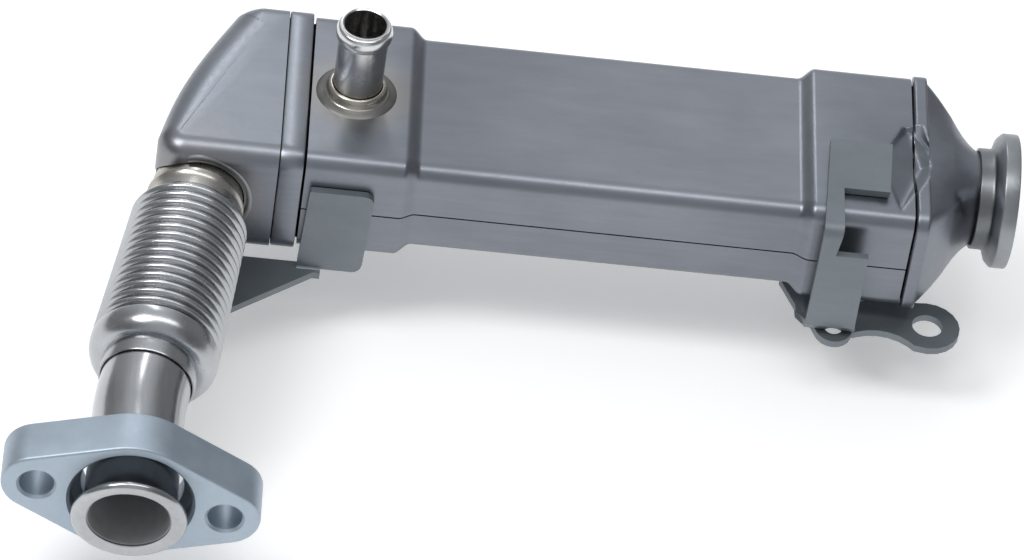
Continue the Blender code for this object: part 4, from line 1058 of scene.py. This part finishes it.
def diffuser_skin():
    base = outline_ring(tank_width - 2 * DIFFUSER_SINK, 2 * (tank_top - DIFFUSER_SINK),
                        CORNER - DIFFUSER_SINK, sides=(110, 30))
    stretch = 0.84 * tank_width / (2 * tank_top)
    neck = []
    for p in base:
        a = math.atan2(p.y * stretch, p.x)
        neck.append(Vector((NECK_RADIUS * math.cos(a), NECK_RADIUS * math.sin(a))))
    rings = []
    steps = 44
    stations = [(x_diffuser - 0.0002, 0.0)]
    for i in range(steps + 1):
        t = i / steps
        s = t + 0.055 * math.sin(2 * math.pi * (t - 0.5)) * (1 if t > 0.5 else 0.4)
        stations.append((x_diffuser + t * DIFFUSER_LENGTH, s))
    stations.append((x_neck, 1.0))
    for x, s in stations:
        ring = []
        for b, n in zip(base, neck):
            p = b.lerp(n, s)
            ring.append((x, p.x, pressed_level(x, p.x, p.y)))
        rings.append(ring)
    bm = lofted(rings)
    bmesh.ops.delete(bm, geom=[f for f in bm.faces if len(f.verts) > 4], context="FACES")
    bmesh.ops.recalc_face_normals(bm, faces=bm.faces)
    bm.normal_update()
    for vert in bm.verts:
        away = vert.co - DENT_PLACE
        near = sum((away[i] / DENT_SIZE[i]) ** 2 for i in range(3))
        vert.co -= vert.normal * DENT_DEPTH * math.exp(-near)
    bmesh.ops.solidify(bm, geom=bm.faces[:], thickness=DIFFUSER_WALL)
    return bm


make_piece("diffuser_fine", diffuser_skin(), "shell_steel", ("outlet_diffuser",), sharp=60.0)

# %% [markdown]
# ## Clamp flange
# A band clamp pulls this flange against the next pipe, so it has a hub that is brazed on the neck, a
# conical back for the clamp's wedge and a flat machined face. It is turned in one piece and its edges are
# broken with a small bevel.

# %% Clamp flange
hub_end = -0.0072
hub_start = clamp_low.x
hub_in = NECK_RADIUS + GAP
hub_out = hub_in + 0.0011
clamp_radius = clamp_high.z
clamp_bore = NECK_RADIUS - DIFFUSER_WALL
clamp_section = ((hub_start, hub_in), (hub_end + 0.0007, hub_in), (hub_end + 0.0007, clamp_bore),
                 (0.0, clamp_bore), (0.0, clamp_radius), (-0.0062 + 0.0016, clamp_radius),
                 (-0.0062, clamp_radius - 0.0016), (hub_end, hub_out + 0.0004), (hub_end - 0.0010, hub_out),
                 (hub_start, hub_out))
clamp = soften(turned(clamp_section, frame_at((0, 0, 0), (1, 0, 0)), 112), 0.00035, 3, 30.0)
make_piece("clamp_fine", clamp, "flange_steel", ("outlet_clamp_flange",), 50.0, clamp_steel)

# %% [markdown]
# ## Brackets
# Both brackets are folded from thick sheet, so a copy of each solid is cleaned of its inner triangle
# edges and kept. The left one's plate gets corners rounded by cutters, as a punch would leave them. A live
# bevel breaks every sharp edge of both, which gives the thin light lines that sheet edges have.

# %% Folded brackets
SHEET_CORNER = 0.0030
SMALL_CORNER = 0.0012
EDGE_BREAK = 0.00035
FOOT_SHEET = 0.0025
PLATE_DEPTH = 0.0035
PLATE_START = 0.0408
ARM_STEP = 0.0014


def clean_copy(node_name):
    bm = bmesh.new()
    bm.from_mesh(frame["nodes"][node_name].data)
    bmesh.ops.remove_doubles(bm, verts=bm.verts, dist=1e-6)
    bmesh.ops.dissolve_limit(bm, angle_limit=math.radians(1.0), verts=bm.verts, edges=bm.edges)
    return bm


def corner_cutter(x, z, side, up, radius, y_low, y_high):
    """A cutter that rounds the outer corner of an upright plate; side and up say which way it points."""
    outline = [(x + side * 0.001, z + up * 0.001), (x - side * radius, z + up * 0.001)]
    for i in range(9):
        a = math.pi / 2 * (1 - i / 8)
        outline.append((x - side * radius * (1 - math.cos(a)), z - up * radius * (1 - math.sin(a))))
    outline.append((x + side * 0.001, z - up * radius))
    return lofted([[(px, y, pz) for px, pz in outline] for y in (y_low, y_high)])


def break_edges(piece, width=EDGE_BREAK):
    """A live bevel on every sharp edge of a folded piece."""
    mod = piece.modifiers.new("broken_edges", "BEVEL")
    mod.width = width
    mod.segments = 2
    mod.limit_method = "ANGLE"
    mod.angle_limit = math.radians(35.0)


left_low, left_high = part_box("left_bracket")
left = make_piece("left_bracket_fine", clean_copy("left_bracket"), "bracket_steel", ("left_bracket",), 35.0)
plate_span = (left_high.y - PLATE_DEPTH, left_high.y + 0.001)
foot_top = left_low.z + FOOT_SHEET
cut_piece(left, [corner_cutter(left_high.x, left_high.z, 1, 1, SHEET_CORNER, *plate_span),
                 corner_cutter(left_high.x - ARM_STEP, foot_top, 1, -1, SHEET_CORNER, *plate_span),
                 corner_cutter(left_low.x + PLATE_START, left_high.z, -1, 1, SMALL_CORNER, *plate_span)])
break_edges(left)

# %% [markdown]
# The right bracket's plate hangs straight down in front of the tank and is narrower than the tab above
# it. The copy's vertices are slid sideways by their height and by their place across the plate, which
# changes the outline and keeps every fold.

# %% Right bracket
PLATE_TRIM = 0.0031
PLATE_STRAIGHTEN = 0.0022
TAB_GROW = 0.0012
PLATE_OFFSET = 0.0010
PLATE_LEAN = 0.0030
PLATE_WIDTH = 0.0184
NOTCH_DROP = 0.0080
right = clean_copy("right_bracket")
plate_x = x_case_end - OUTLET_TANK - PLATE_OFFSET
notch_low = tank_top - NOTCH_DROP
for vert in right.verts:
    x, y, z = vert.co
    if y > front + 0.033 or (z < foot_top + 0.0002 and y > front - 0.001):
        continue
    rise = min(max((z - foot_top) / (notch_low - foot_top), 0.0), 1.0)
    left_edge = plate_x + PLATE_LEAN * rise
    share = min(max((x - left_edge) / PLATE_WIDTH, 0.0), 1.0)
    if z > notch_low + 0.0002:
        down = min(max((tank_top + 0.001 - z) / (tank_top - notch_low), 0.0), 1.0)
        vert.co.x += share * (TAB_GROW * (1 - down) - PLATE_TRIM * down)
    else:
        vert.co.x += (1 - share) * PLATE_STRAIGHTEN * (1 - rise) - share * PLATE_TRIM * rise ** 0.5
break_edges(make_piece("right_bracket_fine", right, "bracket_steel", ("right_bracket",), 35.0))

# %% [markdown]
# ## Finish

# %% Finish
print("dressing finished")
